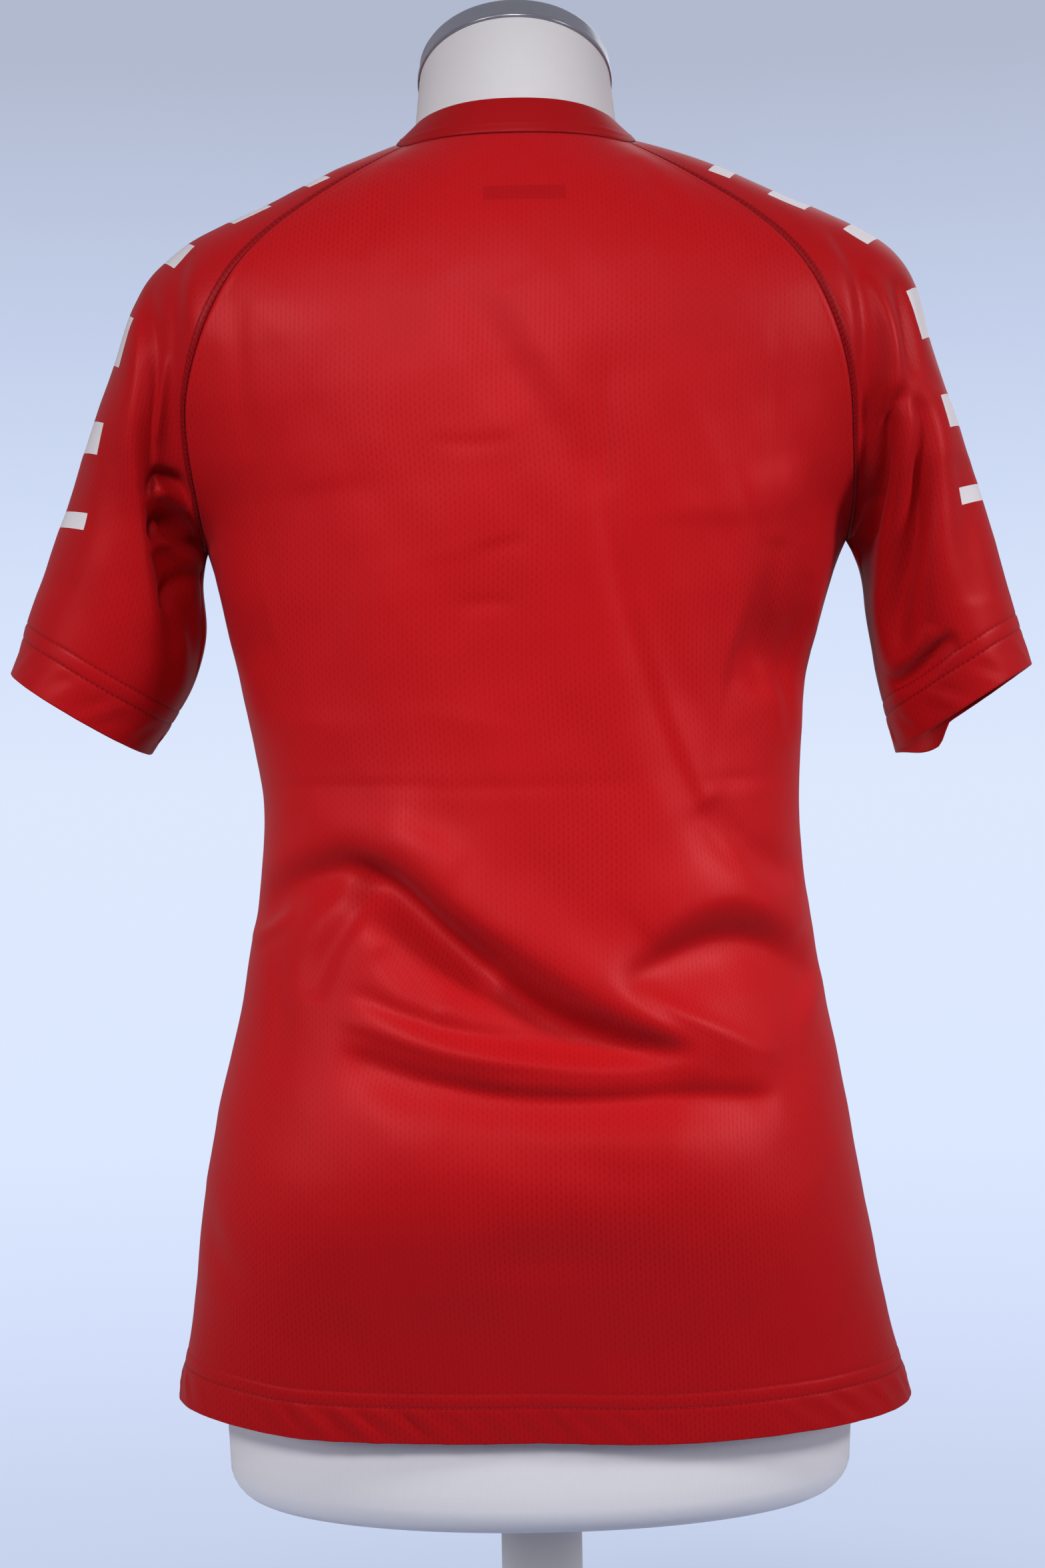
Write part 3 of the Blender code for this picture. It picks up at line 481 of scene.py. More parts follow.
def power(value: Array, exponent: float) -> Array:
    """Signed power, for rounded-square sections."""
    return np.sign(value) * np.abs(value) ** exponent


def ease(value: Array) -> Array:
    """Smooth step from 0 to 1 over that range."""
    value = np.clip(value, 0, 1)
    return value * value * (3 - 2 * value)


def step_up(value: Array, start: float, width: float) -> Array:
    """Smooth step: 0 up to its start, 1 from a width further on."""
    return ease((value - start) / width)


def bell(value: Array | float, centre: float, width: float) -> Array:
    """Bell curve: 1 at its centre, 1/e a width away."""
    return np.exp(-(((value - centre) / width) ** 2))


def unit(vectors: Array) -> Array:
    """Vectors scaled to length 1."""
    return vectors / np.maximum(np.linalg.norm(vectors, axis=-1, keepdims=True), 1e-12)


def loop_points(loop: Loop, angles: Array) -> Array:
    """Points of a curve round the neck; angle 0 is the centre back and 90 degrees the right side."""
    sine, cosine = np.sin(angles), np.cos(angles)
    exponent = 2 / loop.fullness
    x = loop.half_width * power(sine, exponent)
    y = -power(cosine, exponent) * np.where(cosine > 0, loop.back, loop.front)
    return np.stack([x, y, smooth(y, *zip(*loop.heights))], axis=1)


def neck_angle(x: float, front: bool) -> float:
    """Angle on the neckline at which it reaches this distance from the centre."""
    angle = math.asin((x / NECKLINE.half_width) ** (NECKLINE.fullness / 2))
    return math.pi - angle if front else angle


# ---------------------------------------------------------------- finishes


class Nodes:
    """Short way to build a node tree of a material."""

    def __init__(self, name: str) -> None:
        """Starts a material with a Principled shader.

        Args:
            name: Name of the material.
        """
        self.material = bpy.data.materials.new(name)
        self.material.use_nodes = True
        self.tree = self.material.node_tree
        self.shader = self.tree.nodes["Principled BSDF"]

    def add(self, kind: str, settings: dict | None = None, **inputs: object) -> bpy.types.Node:
        """Adds a node.

        Args:
            kind: Blender's node type without its ShaderNode prefix.
            settings: Properties to set on it.
            **inputs: Sockets by name, spaces as underscores, given a value or a socket to link.

        Returns:
            The node.
        """
        node = self.tree.nodes.new("ShaderNode" + kind)
        for key, value in (settings or {}).items():
            setattr(node, key, value)
        for key, value in inputs.items():
            self.put(node.inputs[key.replace("_", " ")], value)
        return node

    def put(self, socket: bpy.types.NodeSocket, value: object) -> None:
        """Links a socket, or sets its value."""
        if isinstance(value, bpy.types.NodeSocket):
            self.tree.links.new(value, socket)
        else:
            socket.default_value = value

    def math(self, operation: str, *values: object) -> bpy.types.NodeSocket:
        """Adds a math node.

        Args:
            operation: Blender's name of the operation.
            *values: Numbers or sockets, in order.

        Returns:
            Its result.
        """
        node = self.add("Math", {"operation": operation})
        for socket, value in zip(node.inputs, values):
            self.put(socket, value)
        return node.outputs[0]

    def mix(self, factor: object, first: object, second: object, blend: str = "MIX") -> bpy.types.NodeSocket:
        """Mixes two colours."""
        node = self.add("MixRGB", {"blend_type": blend}, Fac=factor, Color1=first, Color2=second)
        return node.outputs[0]

    def span(self, value: object, low: float, high: float, first: float = 0.0, last: float = 1.0,
             eased: bool = False) -> bpy.types.NodeSocket:
        """Turns one range of a number into another.

        Args:
            value: The number.
            low: Where its range starts.
            high: Where its range ends.
            first: Result at low and before it.
            last: Result at high and past it.
            eased: Whether the change between them is a smooth step.

        Returns:
            The result.
        """
        settings = {"interpolation_type": "SMOOTHSTEP"} if eased else None
        ends = {"From_Min": low, "From_Max": high, "To_Min": first, "To_Max": last}
        return self.add("MapRange", settings, Value=value, **ends).outputs[0]

    def wave(self, value: object, pitch: float) -> bpy.types.NodeSocket:
        """Sine wave of a pitch, from -1 to 1."""
        return self.math("SINE", self.math("MULTIPLY", value, 2 * math.pi / pitch))

    def flat(self, layer: str) -> tuple[bpy.types.NodeSocket, bpy.types.NodeSocket]:
        """Both coordinates of a UV layer."""
        parts = self.add("SeparateXYZ", Vector=self.add("UVMap", {"uv_map": layer}).outputs[0])
        return parts.outputs[0], parts.outputs[1]

    def noise(self, scale: float, detail: float = 2.0, stretch: Colour = (1, 1, 1)) -> bpy.types.NodeSocket:
        """Noise on Object coordinates, a number near 0.5.

        Args:
            scale: Repeats in a metre.
            detail: Octaves.
            stretch: Scale along each axis.

        Returns:
            The noise.
        """
        place = self.add("TexCoord").outputs["Object"]
        place = self.add("Mapping", Vector=place, Scale=stretch).outputs[0]
        return self.add("TexNoise", Vector=place, Scale=scale, Detail=detail).outputs[0]

    def surface(self, **inputs: object) -> None:
        """Sets sockets of the Principled shader, spaces as underscores."""
        for key, value in inputs.items():
            self.put(self.shader.inputs[key.replace("_", " ")], value)


def rgba(colour: Colour) -> tuple[float, float, float, float]:
    """Opaque colour."""
    return (*colour, 1.0)


@dataclass(frozen=True)
class KnitFinish:
    """Smooth glossy team-jersey knit: fine wales with small drop-shaped tuck stitches in offset columns.

    The pattern follows the UV map of the cloth, whose unit is the metre of flat cloth.
    """

    name: str
    colour: Colour = (0.47, 0.0075, 0.0105)
    drop_colour: Colour = (0.36, 0.004, 0.006)
    # shade_colour paints shade into the seam groove and the hem's stitch rows; it also darkens the seam band
    shade_colour: Colour = (0.16, 0.002, 0.004)
    tag_colour: Colour = (0.20, 0.002, 0.004)
    bar_colour: Colour = (0.80, 0.77, 0.84)
    sheen_tint: Colour = (1.0, 0.30, 0.45)
    gloss_tint: Colour = (1.0, 0.30, 0.34)
    roughness: float = 0.42
    sheen: float = 0.08
    bump: float = 0.35
    bump_height: float = 0.12 * MM
    drop_pitch: float = 2.4 * MM
    drop_rise: float = 4.0 * MM
    drop_half_width: float = 0.24
    drop_shade: float = 0.75
    drop_taper: float = 0.35
    drop_edge: float = 0.10
    drop_round: float = 0.2
    wale_pitch: float = 0.8 * MM
    wale_height: float = 0.10
    fibre_height: float = 0.35
    fibre_scale: float = 2600.0
    patch_scale: float = 9.0
    patch_range: tuple[float, float] = (0.25, 1.0)
    dye_scale: float = 5.0
    dye_range: tuple[float, float] = (0.94, 1.06)
    rough_range: tuple[float, float] = (-0.03, 0.04)
    sheen_roughness: float = 0.35
    gloss: float = 0.2
    bars: tuple[tuple[float, float], ...] = ()
    bar_half_width: float = 56 * MM
    tag_centre: tuple[float, float] | None = None
    tag_half_size: tuple[float, float] = (21 * MM, 4.5 * MM)
    tag_shade: float = 0.28
    seam_band: float = 0.0
    seam_stitch: float = 2.9 * MM
    seam_slant: float = 8.0 * MM
    seam_fade: tuple[float, float] = (-0.4 * MM, 0.5 * MM)
    seam_shade: float = 0.72
    groove_fade: tuple[float, float] = (0.35 * MM, 1.0 * MM)
    groove_shade: float = 0.35
    hem_rows: tuple[float, ...] = ()
    hem_stitch: float = 3.1 * MM
    row_fade: tuple[float, float] = (0.25 * MM, 1.0 * MM)
    row_shade: float = 0.5

    def drops(self, nodes: Nodes, across: object, down: object) -> bpy.types.NodeSocket:
        """Drop-shaped stitches.

        Args:
            nodes: Material under way.
            across: UV across the cloth.
            down: UV along the cloth.

        Returns:
            1 inside a drop and 0 outside, soft at its edge.
        """
        column = nodes.math("DIVIDE", across, self.drop_pitch)
        odd = nodes.math("MULTIPLY", nodes.math("MODULO", nodes.math("FLOOR", column), 2.0), 0.5)
        row = nodes.math("ADD", nodes.math("DIVIDE", down, self.drop_rise), nodes.math("ABSOLUTE", odd))
        side = nodes.math("ABSOLUTE", nodes.math("SUBTRACT", nodes.math("FRACT", column), 0.5))
        place = nodes.math("FRACT", row)
        round_off = nodes.math("SINE", nodes.math("MULTIPLY", place, math.pi))
        width = nodes.math("MULTIPLY", round_off, self.drop_half_width)
        width = nodes.math("MULTIPLY", width, nodes.math("ADD", place, self.drop_taper))
        inside = nodes.math("DIVIDE", nodes.math("SUBTRACT", width, side), self.drop_edge)
        return nodes.math("SMOOTH_MIN", nodes.math("MAXIMUM", inside, 0.0), 1.0, self.drop_round)

    def bar_mask(self, nodes: Nodes, across: object, down: object) -> bpy.types.NodeSocket:
        """Plain bars across the outer line of the sleeve, 1 inside a bar."""
        mask = 0.0
        for start, end in self.bars:
            middle, half = (start + end) / 2 * MM, (end - start) / 2 * MM
            mask = nodes.math("MAXIMUM", mask, nodes.math("COMPARE", down, middle, half))
        near = nodes.math("COMPARE", across, 0.0, self.bar_half_width)
        return nodes.math("MULTIPLY", mask, near)

    def tag_mask(self, nodes: Nodes, across: object, down: object) -> bpy.types.NodeSocket:
        """Plain bar that shows faintly through the back of the neck, 1 inside it."""
        sides = [nodes.math("COMPARE", value, middle, half)
                 for value, middle, half in zip((across, down), self.tag_centre, self.tag_half_size)]
        return nodes.math("MULTIPLY", *sides)

    def seam_tone_and_groove_shade(self, nodes: Nodes, tone: object, down: object) -> bpy.types.NodeSocket:
        """Darkens the band of stitches beside the raglan seam, and paints shade into the sunk groove of the
        seam itself.

        Args:
            nodes: Material under way.
            tone: Colour so far.
            down: UV along the cloth.

        Returns:
            The colour.
        """
        edge, _ = nodes.flat("edge")
        fade = [self.seam_band + step for step in self.seam_fade]
        band = nodes.span(edge, *fade, self.seam_shade, 0.0, eased=True)
        slant = nodes.math("ADD", nodes.math("DIVIDE", down, self.seam_stitch),
                           nodes.math("DIVIDE", edge, self.seam_slant))
        rung = nodes.math("ADD", nodes.math("MULTIPLY", nodes.wave(slant, 1.0), 0.25), 0.9)
        tone = nodes.mix(nodes.math("MULTIPLY", band, rung), tone, rgba(self.shade_colour))
        # painted shade in the sunk groove of the seam
        groove = nodes.span(edge, *self.groove_fade, self.groove_shade, 0.0, eased=True)
        return nodes.mix(groove, tone, rgba(self.shade_colour))

    def hem_row_painted_shade(self, nodes: Nodes, tone: object, across: object) -> bpy.types.NodeSocket:
        """Paints shade into the dashes of the stitch rows along the hem, where the thread sinks into the
        cloth.

        Args:
            nodes: Material under way.
            tone: Colour so far.
            across: UV across the cloth.

        Returns:
            The colour.
        """
        _, edge = nodes.flat("edge")
        dash = nodes.math("ADD", nodes.math("MULTIPLY", nodes.wave(across, self.hem_stitch), 0.35), 0.65)
        # painted shade where the thread of each stitch row sinks into the cloth
        for row in self.hem_rows:
            away = nodes.math("ABSOLUTE", nodes.math("SUBTRACT", edge, row * MM))
            line = nodes.span(away, *self.row_fade, self.row_shade, 0.0, eased=True)
            tone = nodes.mix(nodes.math("MULTIPLY", line, dash), tone, rgba(self.shade_colour))
        return tone

    def tone(self, nodes: Nodes, across: object, down: object, drops: object) -> bpy.types.NodeSocket:
        """Colour of the cloth, with painted shade in the seam groove and in the stitch rows of the hem.

        Args:
            nodes: Material under way.
            across: UV across the cloth.
            down: UV along the cloth.
            drops: How far the drop-shaped stitches show.

        Returns:
            The colour.
        """
        factor = nodes.math("MULTIPLY", drops, self.drop_shade)
        tone = nodes.mix(factor, rgba(self.colour), rgba(self.drop_colour))
        dye = nodes.span(nodes.noise(self.dye_scale, 3.0), 0.3, 0.7, *self.dye_range)
        dyed = nodes.add("CombineColor", Red=dye, Green=dye, Blue=dye).outputs[0]
        tone = nodes.mix(1.0, tone, dyed, "MULTIPLY")
        if self.tag_centre:
            tag = nodes.math("MULTIPLY", self.tag_mask(nodes, across, down), self.tag_shade)
            tone = nodes.mix(tag, tone, rgba(self.tag_colour))
        if self.bars:
            tone = nodes.mix(self.bar_mask(nodes, across, down), tone, rgba(self.bar_colour))
        if self.seam_band:
            tone = self.seam_tone_and_groove_shade(nodes, tone, down)
        return self.hem_row_painted_shade(nodes, tone, across)

    def material(self) -> bpy.types.Material:
        """Builds the material."""
        nodes = Nodes(self.name)
        across, down = nodes.flat("cloth")
        drops = self.drops(nodes, across, down)
        patch = nodes.noise(self.patch_scale, 1.0)
        seen = nodes.math("MULTIPLY", drops, nodes.span(patch, 0.35, 0.62, *self.patch_range))
        tone = self.tone(nodes, across, down, seen)
        wales = nodes.math("MULTIPLY", nodes.wave(across, self.wale_pitch), self.wale_height)
        height = nodes.math("ADD", wales, nodes.math("MULTIPLY", drops, -1.0))
        fibres = nodes.math("MULTIPLY", nodes.noise(self.fibre_scale, 1.0), self.fibre_height)
        height = nodes.math("ADD", height, fibres)
        bump = nodes.add("Bump", Strength=self.bump, Distance=self.bump_height, Height=height).outputs[0]
        rough = nodes.span(patch, 0.3, 0.7, *(self.roughness + step for step in self.rough_range))
        nodes.surface(Base_Color=tone, Roughness=rough, Normal=bump, Sheen_Weight=self.sheen,
                      Sheen_Tint=rgba(self.sheen_tint), Sheen_Roughness=self.sheen_roughness,
                      Specular_IOR_Level=self.gloss, Specular_Tint=rgba(self.gloss_tint))
        return nodes.material


@dataclass(frozen=True)
class ThreadFinish:
    """Polyester sewing thread, close to the colour of the cloth."""

    name: str = "sewing_thread"
    colour: Colour = (0.40, 0.012, 0.018)
    gloss_tint: Colour = (1.0, 0.3, 0.34)
    roughness: float = 0.6
    twist_scale: float = 900.0
    lift: float = 1.5
    bump: float = 0.3

    def material(self) -> bpy.types.Material:
        """Builds the material."""
        nodes = Nodes(self.name)
        twist = nodes.noise(self.twist_scale, 1.0)
        lit = rgba(tuple(self.lift * part for part in self.colour))
        tone = nodes.mix(twist, rgba(self.colour), lit)
        bump = nodes.add("Bump", Strength=self.bump, Distance=0.05 * MM, Height=twist).outputs[0]
        nodes.surface(Base_Color=tone, Roughness=self.roughness, Normal=bump, Specular_IOR_Level=0.15,
                      Specular_Tint=rgba(self.gloss_tint))
        return nodes.material


@dataclass(frozen=True)
class CoverFinish:
    """Tight white cotton jersey over the dress form."""

    name: str = "form_cover"
    colour: Colour = (0.90, 0.89, 0.96)
    soil_colour: Colour = (0.80, 0.79, 0.84)
    roughness: float = 0.75
    wale_pitch: float = 0.9 * MM
    course_pitch: float = 0.7 * MM
    course_height: float = 0.6
    soil_scale: float = 14.0
    soil_shade: float = 0.10
    bump: float = 0.25
    sheen: float = 0.25

    def material(self) -> bpy.types.Material:
        """Builds the material."""
        nodes = Nodes(self.name)
        across, up = nodes.flat("cloth")
        courses = nodes.math("MULTIPLY", nodes.wave(up, self.course_pitch), self.course_height)
        height = nodes.math("ADD", nodes.wave(across, self.wale_pitch), courses)
        soil = nodes.span(nodes.noise(self.soil_scale, 4.0), 0.45, 0.75, 0.0, self.soil_shade)
        tone = nodes.mix(soil, rgba(self.colour), rgba(self.soil_colour))
        bump = nodes.add("Bump", Strength=self.bump, Distance=0.08 * MM, Height=height).outputs[0]
        nodes.surface(Base_Color=tone, Roughness=self.roughness, Normal=bump, Sheen_Weight=self.sheen,
                      Sheen_Roughness=0.5, Specular_IOR_Level=0.3)
        return nodes.material


@dataclass(frozen=True)
class MetalFinish:
    """Plated, brushed or lacquered metal with faint smears."""

    name: str
    colour: Colour
    roughness: float
    metallic: float
    brushed: Colour = (1, 1, 1)
    coat: float = 0.0
    smear_scale: float = 22.0
    grain_scale: float = 240.0
    grain: float = 0.08
    rough_shares: tuple[float, float] = (0.93, 1.12)
    dulled: float = 0.86
    dull_share: float = 0.25
    bump: float = 0.06
    coat_roughness: float = 0.15

    def material(self) -> bpy.types.Material:
        """Builds the material."""
        nodes = Nodes(self.name)
        smear = nodes.noise(self.smear_scale, 4.0)
        fine = nodes.noise(self.grain_scale, 2.0, self.brushed)
        grain = nodes.math("MULTIPLY", nodes.math("SUBTRACT", fine, 0.5), self.grain)
        rough = nodes.span(smear, 0.35, 0.7, *(self.roughness * share for share in self.rough_shares))
        rough = nodes.math("ADD", rough, grain)
        dull = rgba(tuple(self.dulled * part for part in self.colour))
        tone = nodes.mix(nodes.span(smear, 0.4, 0.8, 0.0, self.dull_share), rgba(self.colour), dull)
        bump = nodes.add("Bump", Strength=self.bump, Distance=0.05 * MM, Height=fine).outputs[0]
        nodes.surface(Base_Color=tone, Roughness=rough, Metallic=self.metallic, Normal=bump,
                      Coat_Weight=self.coat, Coat_Roughness=self.coat_roughness)
        return nodes.material


SLEEVE_BARS = ((46, 58), (80, 102), (126, 142), (176, 204), (236, 254), (286, 295))
CHROME = MetalFinish("cap_chrome", (0.52, 0.54, 0.64), 0.24, 0.7)
ENAMEL = MetalFinish("pole_enamel", (0.82, 0.77, 0.75), 0.34, 0.0, coat=0.4)
STEEL = MetalFinish("base_steel", (0.55, 0.57, 0.61), 0.30, 1.0, brushed=(1, 1, 30))


# ---------------------------------------------------------------- the shell


UNDERARM = len(RAGLAN_RIGHT) - 1
SWELL = 2.3
YOKE_PLAIN = 7
YOKE_SQUARE_LOSS = 0.51
YOKE_SQUARE_POWER = 1.75
YOKE_RISE_POWER = 1.2


class CoarseShell:
    """The jersey's surface on the sections of its cut, one grid of points for each panel, mm."""

    BACK_COLUMNS = 32
    FRONT_COLUMNS = 20
    SLEEVE_COLUMNS = 22
    HEM_DROP = 6.0
    HEM_DROP_TOP = 400.0
    HEM_DROP_WIDTH = 150.0
    HEM_HANG = 4.6
    HANG_START = (-192.0, 75.0)
    HANG_END = (55.0, 120.0)
    ARMHOLE_DEPTH = 60.0
    BODY_SPANS = ((255, 420, 8), (420, 560, 13), (560, 708, 8))
    RELAX_ROUNDS = 6
    RELAX_SHARES = (0.5, -0.52)
    REST_ROUNDS = 6

    def __init__(self) -> None:
        """Lofts the four panels, evens them out across the seams and turns the rows to run downwards."""
        left = self.sleeve(RAGLAN_LEFT, SLEEVE_LEFT, -1)
        right = self.sleeve(RAGLAN_RIGHT, SLEEVE_RIGHT, 1)
        self.grids = {
            "back_panel": self.torso(left, right, True, self.BACK_COLUMNS),
            "front_panel": self.torso(left, right, False, self.FRONT_COLUMNS),
            "sleeve_left": left,
            "sleeve_right": right,
        }
        self.weld()
        self.relax()

    @staticmethod
    def body_level(height: float) -> BodyLevel:
        """Section of the body at a height."""
        columns = list(zip(*BODY_LEVELS))
        return BodyLevel(height, *(float(smooth(height, columns[0], values)) for values in columns[1:]))

    @staticmethod
    def half_section(level: BodyLevel, angles: Array, back: bool) -> Array:
        """Half of a level section, from the left side (-90 degrees) to the right (90)."""
        sine = np.sin(angles)
        width = np.where(sine < 0, level.left, level.right)
        depth = -level.back if back else level.front
        x = width * power(sine, 2 / level.fullness)
        y = depth * np.abs(np.cos(angles)) ** (2 / level.fullness)
        return np.stack([x, y, np.full_like(x, level.height)], axis=1)

    def body_heights(self) -> Array:
        """Levels of the body, closer together in the small of the back."""
        return np.unique(np.concatenate([np.linspace(*span) for span in self.BODY_SPANS]))

    @staticmethod
    def arc(back: Array, outer: Array, front: Array, half_angle: float, columns: int) -> Array:
        """Open arc from the back seam over the outer line to the front seam."""
        edge = math.radians(half_angle)
        phi = np.linspace(-edge, edge, columns + 1)
        across = np.sin(phi) / math.sin(edge)
        rise = (np.cos(phi) - math.cos(edge)) / (1 - math.cos(edge))
        middle = (back + front) / 2
        return middle + np.outer(across, (front - back) / 2) + np.outer(rise, outer - middle)

    @staticmethod
    def ring(row: SleeveRing, columns: int) -> Array:
        """Closed sleeve ring from the underarm seam round the back."""
        phi = np.linspace(-math.pi, math.pi, columns + 1)
        inner, outer = np.array([row.inner_x, 0, row.inner_z]), np.array([row.outer_x, 0, row.outer_z])
        middle = (inner + outer) / 2 + (0, row.centre_y, 0)
        points = middle + np.outer(np.cos(phi), (outer - inner) / 2)
        points += np.outer(np.sin(phi), (0, row.half_depth, -row.tip))
        points[:, 2] -= row.sag * np.sin(phi) ** 2
        points[-1] = points[0]
        return points

    def sleeve(self, raglan: Sequence[RaglanRow], rings: Sequence[SleeveRing], side: int) -> Array:
        """Rows of a sleeve from the neckline to the cuff; side is 1 for the right and -1 for the left."""
        columns = self.SLEEVE_COLUMNS
        start, end = neck_angle(raglan[0].back_x, False), neck_angle(raglan[0].front_x, True)
        rows = [loop_points(NECKLINE, np.linspace(start, end, columns + 1))]
        for row in raglan[1:-1]:
            back = np.array([row.back_x, row.back_y, row.back_z], float)
            front = np.array([row.front_x, row.front_y, row.front_z], float)
            outer = np.array([row.outer_x, 0, row.outer_z])
            rows.append(self.arc(back, outer, front, row.half_angle, columns))
        end = raglan[-1]
        armhole = SleeveRing(end.back_x, end.back_z, end.outer_x, end.outer_z, self.ARMHOLE_DEPTH, 0, 0, 0)
        grid = np.array(rows + [self.ring(row, columns) for row in (armhole, *rings)])
        grid[:, :, 0] *= side
        return grid

    @staticmethod
    def squareness(index: int) -> float:
        """Power of a yoke row's swell: that of a level section at the underarm, plain further up."""
        low = max(0.0, (index - YOKE_PLAIN) / (UNDERARM - YOKE_PLAIN))
        return 1 - YOKE_SQUARE_LOSS * low**YOKE_SQUARE_POWER

    @staticmethod
    def yoke_row(left: Array, right: Array, depth: float, height: float, columns: int,
                 square: float) -> Array:
        """Row of the back or the front between the two raglan seams."""
        across = np.linspace(-1, 1, columns + 1)
        share = (across[:, None] + 1) / 2
        points = left * (1 - share) + right * share
        points[:, 1] += (depth - (left[1] + right[1]) / 2) * (1 - np.abs(across) ** SWELL) ** square
        points[:, 2] += (height - (left[2] + right[2]) / 2) * (1 - across**2) ** YOKE_RISE_POWER
        points[0], points[-1] = left, right
        return points

    def torso(self, left: Array, right: Array, back: bool, columns: int) -> Array:
        """Back or front from the neckline down to the hem."""
        angles = np.linspace(-math.pi / 2, math.pi / 2, columns + 1)
        seam = 0 if back else -1
        first = RAGLAN_RIGHT[0]
        edge = neck_angle(first.back_x if back else first.front_x, not back)
        start = -edge if back else 2 * math.pi - edge
        rows = [loop_points(NECKLINE, np.linspace(start, edge, columns + 1))]
        for index, middle in enumerate(YOKE[1:-1], 1):
            depth = -middle.back if back else middle.front
            height = middle.back_height if back else middle.front_height
            ends = left[index, seam], right[index, seam]
            rows.append(self.yoke_row(*ends, depth, height, columns, self.squareness(index)))
        heights = self.body_heights()[::-1]
        rows.append(self.half_section(self.body_level(heights[0]), angles, back))
        rows[-1][0], rows[-1][-1] = left[UNDERARM, seam], right[UNDERARM, seam]
        rows += [self.half_section(self.body_level(height), angles, back) for height in heights[1:]]
        grid = np.array(rows)
        low = np.clip((self.HEM_DROP_TOP - grid[:, :, 2]) / (self.HEM_DROP_TOP - heights[-1]), 0, 1)
        grid[:, :, 2] -= self.HEM_DROP * low**2 * np.clip(grid[:, :, 0] / self.HEM_DROP_WIDTH, 0, 1)
        x = grid[:, :, 0]
        hang = step_up(x, *self.HANG_START) * (1 - step_up(x, *self.HANG_END))
        grid[:, :, 2] -= self.HEM_HANG * low**2 * hang
        return grid

    def weld(self) -> None:
        """Gives the panels shared points along their seams."""
        stacked = np.concatenate([grid.reshape(-1, 3) for grid in self.grids.values()])
        _, first, index = np.unique(np.round(stacked, 2), axis=0, return_index=True, return_inverse=True)
        index = index.reshape(-1)
        self.points, self.index, start = stacked[first], {}, 0
        quads, edges = [], []
        self.fixed = np.zeros(len(self.points), bool)
        for name, grid in self.grids.items():
            count = grid.shape[0] * grid.shape[1]
            ids = index[start : start + count].reshape(grid.shape[:2])
            start += count
            self.index[name] = ids
            corners = (ids[:-1, :-1], ids[:-1, 1:], ids[1:, 1:], ids[1:, :-1])
            quads.append(np.stack(corners, axis=-1).reshape(-1, 4))
            edges.append(np.stack([ids[:-1], ids[1:]], axis=-1).reshape(-1, 2))
            edges.append(np.stack([ids[:, :-1], ids[:, 1:]], axis=-1).reshape(-1, 2))
            self.fixed[ids[0]] = self.fixed[ids[-1]] = True
        self.quads = np.concatenate(quads)
        self.edges = np.unique(np.sort(np.concatenate(edges), axis=1), axis=0)
        self.edges = self.edges[self.edges[:, 0] != self.edges[:, 1]]

    def relax(self) -> None:
        """Evens the surface out across the seams without drawing it in."""
        for _ in range(self.RELAX_ROUNDS):
            for share in self.RELAX_SHARES:
                total, count = np.zeros_like(self.points), np.zeros(len(self.points))
                for a, b in (self.edges.T, self.edges.T[::-1]):
                    np.add.at(total, a, self.points[b])
                    np.add.at(count, a, 1)
                move = share * (total / count[:, None] - self.points)
                move[self.fixed] = 0
                self.points = self.points + move

    def rest_on(self, form: "DressForm", clear: float) -> None:
        """Pushes the surface out until it clears the form."""
        for _ in range(self.REST_ROUNDS):
            for ids in (np.arange(len(self.points))[:, None], self.quads):
                lift = form.lift(self.points[ids].mean(axis=1), clear)
                for k in np.flatnonzero(np.abs(lift).sum(axis=1)):
                    self.points[ids[k]] += lift[k]

    def panel(self, name: str) -> Array:
        """Grid of a panel."""
        return self.points[self.index[name]]


PANELS = ("back_panel", "front_panel", "sleeve_left", "sleeve_right")
SEAM_LINKS = (
    ("back_panel", 0, "sleeve_left", 0),
    ("back_panel", -1, "sleeve_right", 0),
    ("front_panel", 0, "sleeve_left", -1),
    ("front_panel", -1, "sleeve_right", -1),
)
SIDE_LINKS = (
    ("back_panel", 0, "front_panel", 0),
    ("back_panel", -1, "front_panel", -1),
    ("sleeve_left", 0, "sleeve_left", -1),
    ("sleeve_right", 0, "sleeve_right", -1),
)


def bend_matrix(knots: Array) -> Array:
    """Matrix that turns values at the knots into the second derivatives of their natural cubic spline."""
    count, step = len(knots), np.diff(knots)
    left, right = np.eye(count), np.zeros((count, count))
    for k in range(1, count - 1):
        left[k, k - 1 : k + 2] = step[k - 1], 2 * (step[k - 1] + step[k]), step[k]
        right[k, k - 1 : k + 2] = 6 / step[k - 1], -6 / step[k - 1] - 6 / step[k], 6 / step[k]
    return np.linalg.solve(left, right)


def read_spline(knots: Array, values: Array, at: Array) -> Array:
    """Natural cubic splines, one for each column of values.

    Args:
        knots: Rising positions, shared by all columns.
        values: Points, knots x columns x 3.
        at: Positions to read in each column, positions x columns.

    Returns:
        Points, positions x columns x 3.
    """
    bend = np.einsum("kn,ncd->kcd", bend_matrix(knots), values)
    k = np.clip(np.searchsorted(knots, at, side="right") - 1, 0, len(knots) - 2)
    step = np.diff(knots)[k]
    a, b = ((knots[k + 1] - at) / step)[..., None], ((at - knots[k]) / step)[..., None]
    column = np.arange(values.shape[1])[None, :]
    ends = a * values[k, column] + b * values[k + 1, column]
    step = step[..., None] ** 2 / 6
    return ends + (a**3 - a) * step * bend[k, column] + (b**3 - b) * step * bend[k + 1, column]


def run(points: Array, axis: int) -> Array:
    """Distance run along an axis of a grid of points, 0 at its first point."""
    step = np.linalg.norm(np.diff(points, axis=axis), axis=-1)
    start = np.zeros_like(np.take(step, [0], axis=axis))
    return np.concatenate([start, np.cumsum(step, axis=axis)], axis=axis)


@dataclass
class Weave:
    """Spacing of the fine grid of a panel, mm."""

    columns: int
    outward: int
    zone: tuple[float, ...]
    row_step: float = 2.7
    beside_seam: tuple[float, ...] = (0.0, 0.3, 0.8, 1.4, 2.4, 3.4, 3.9, 4.4, 5.2, 6.6)


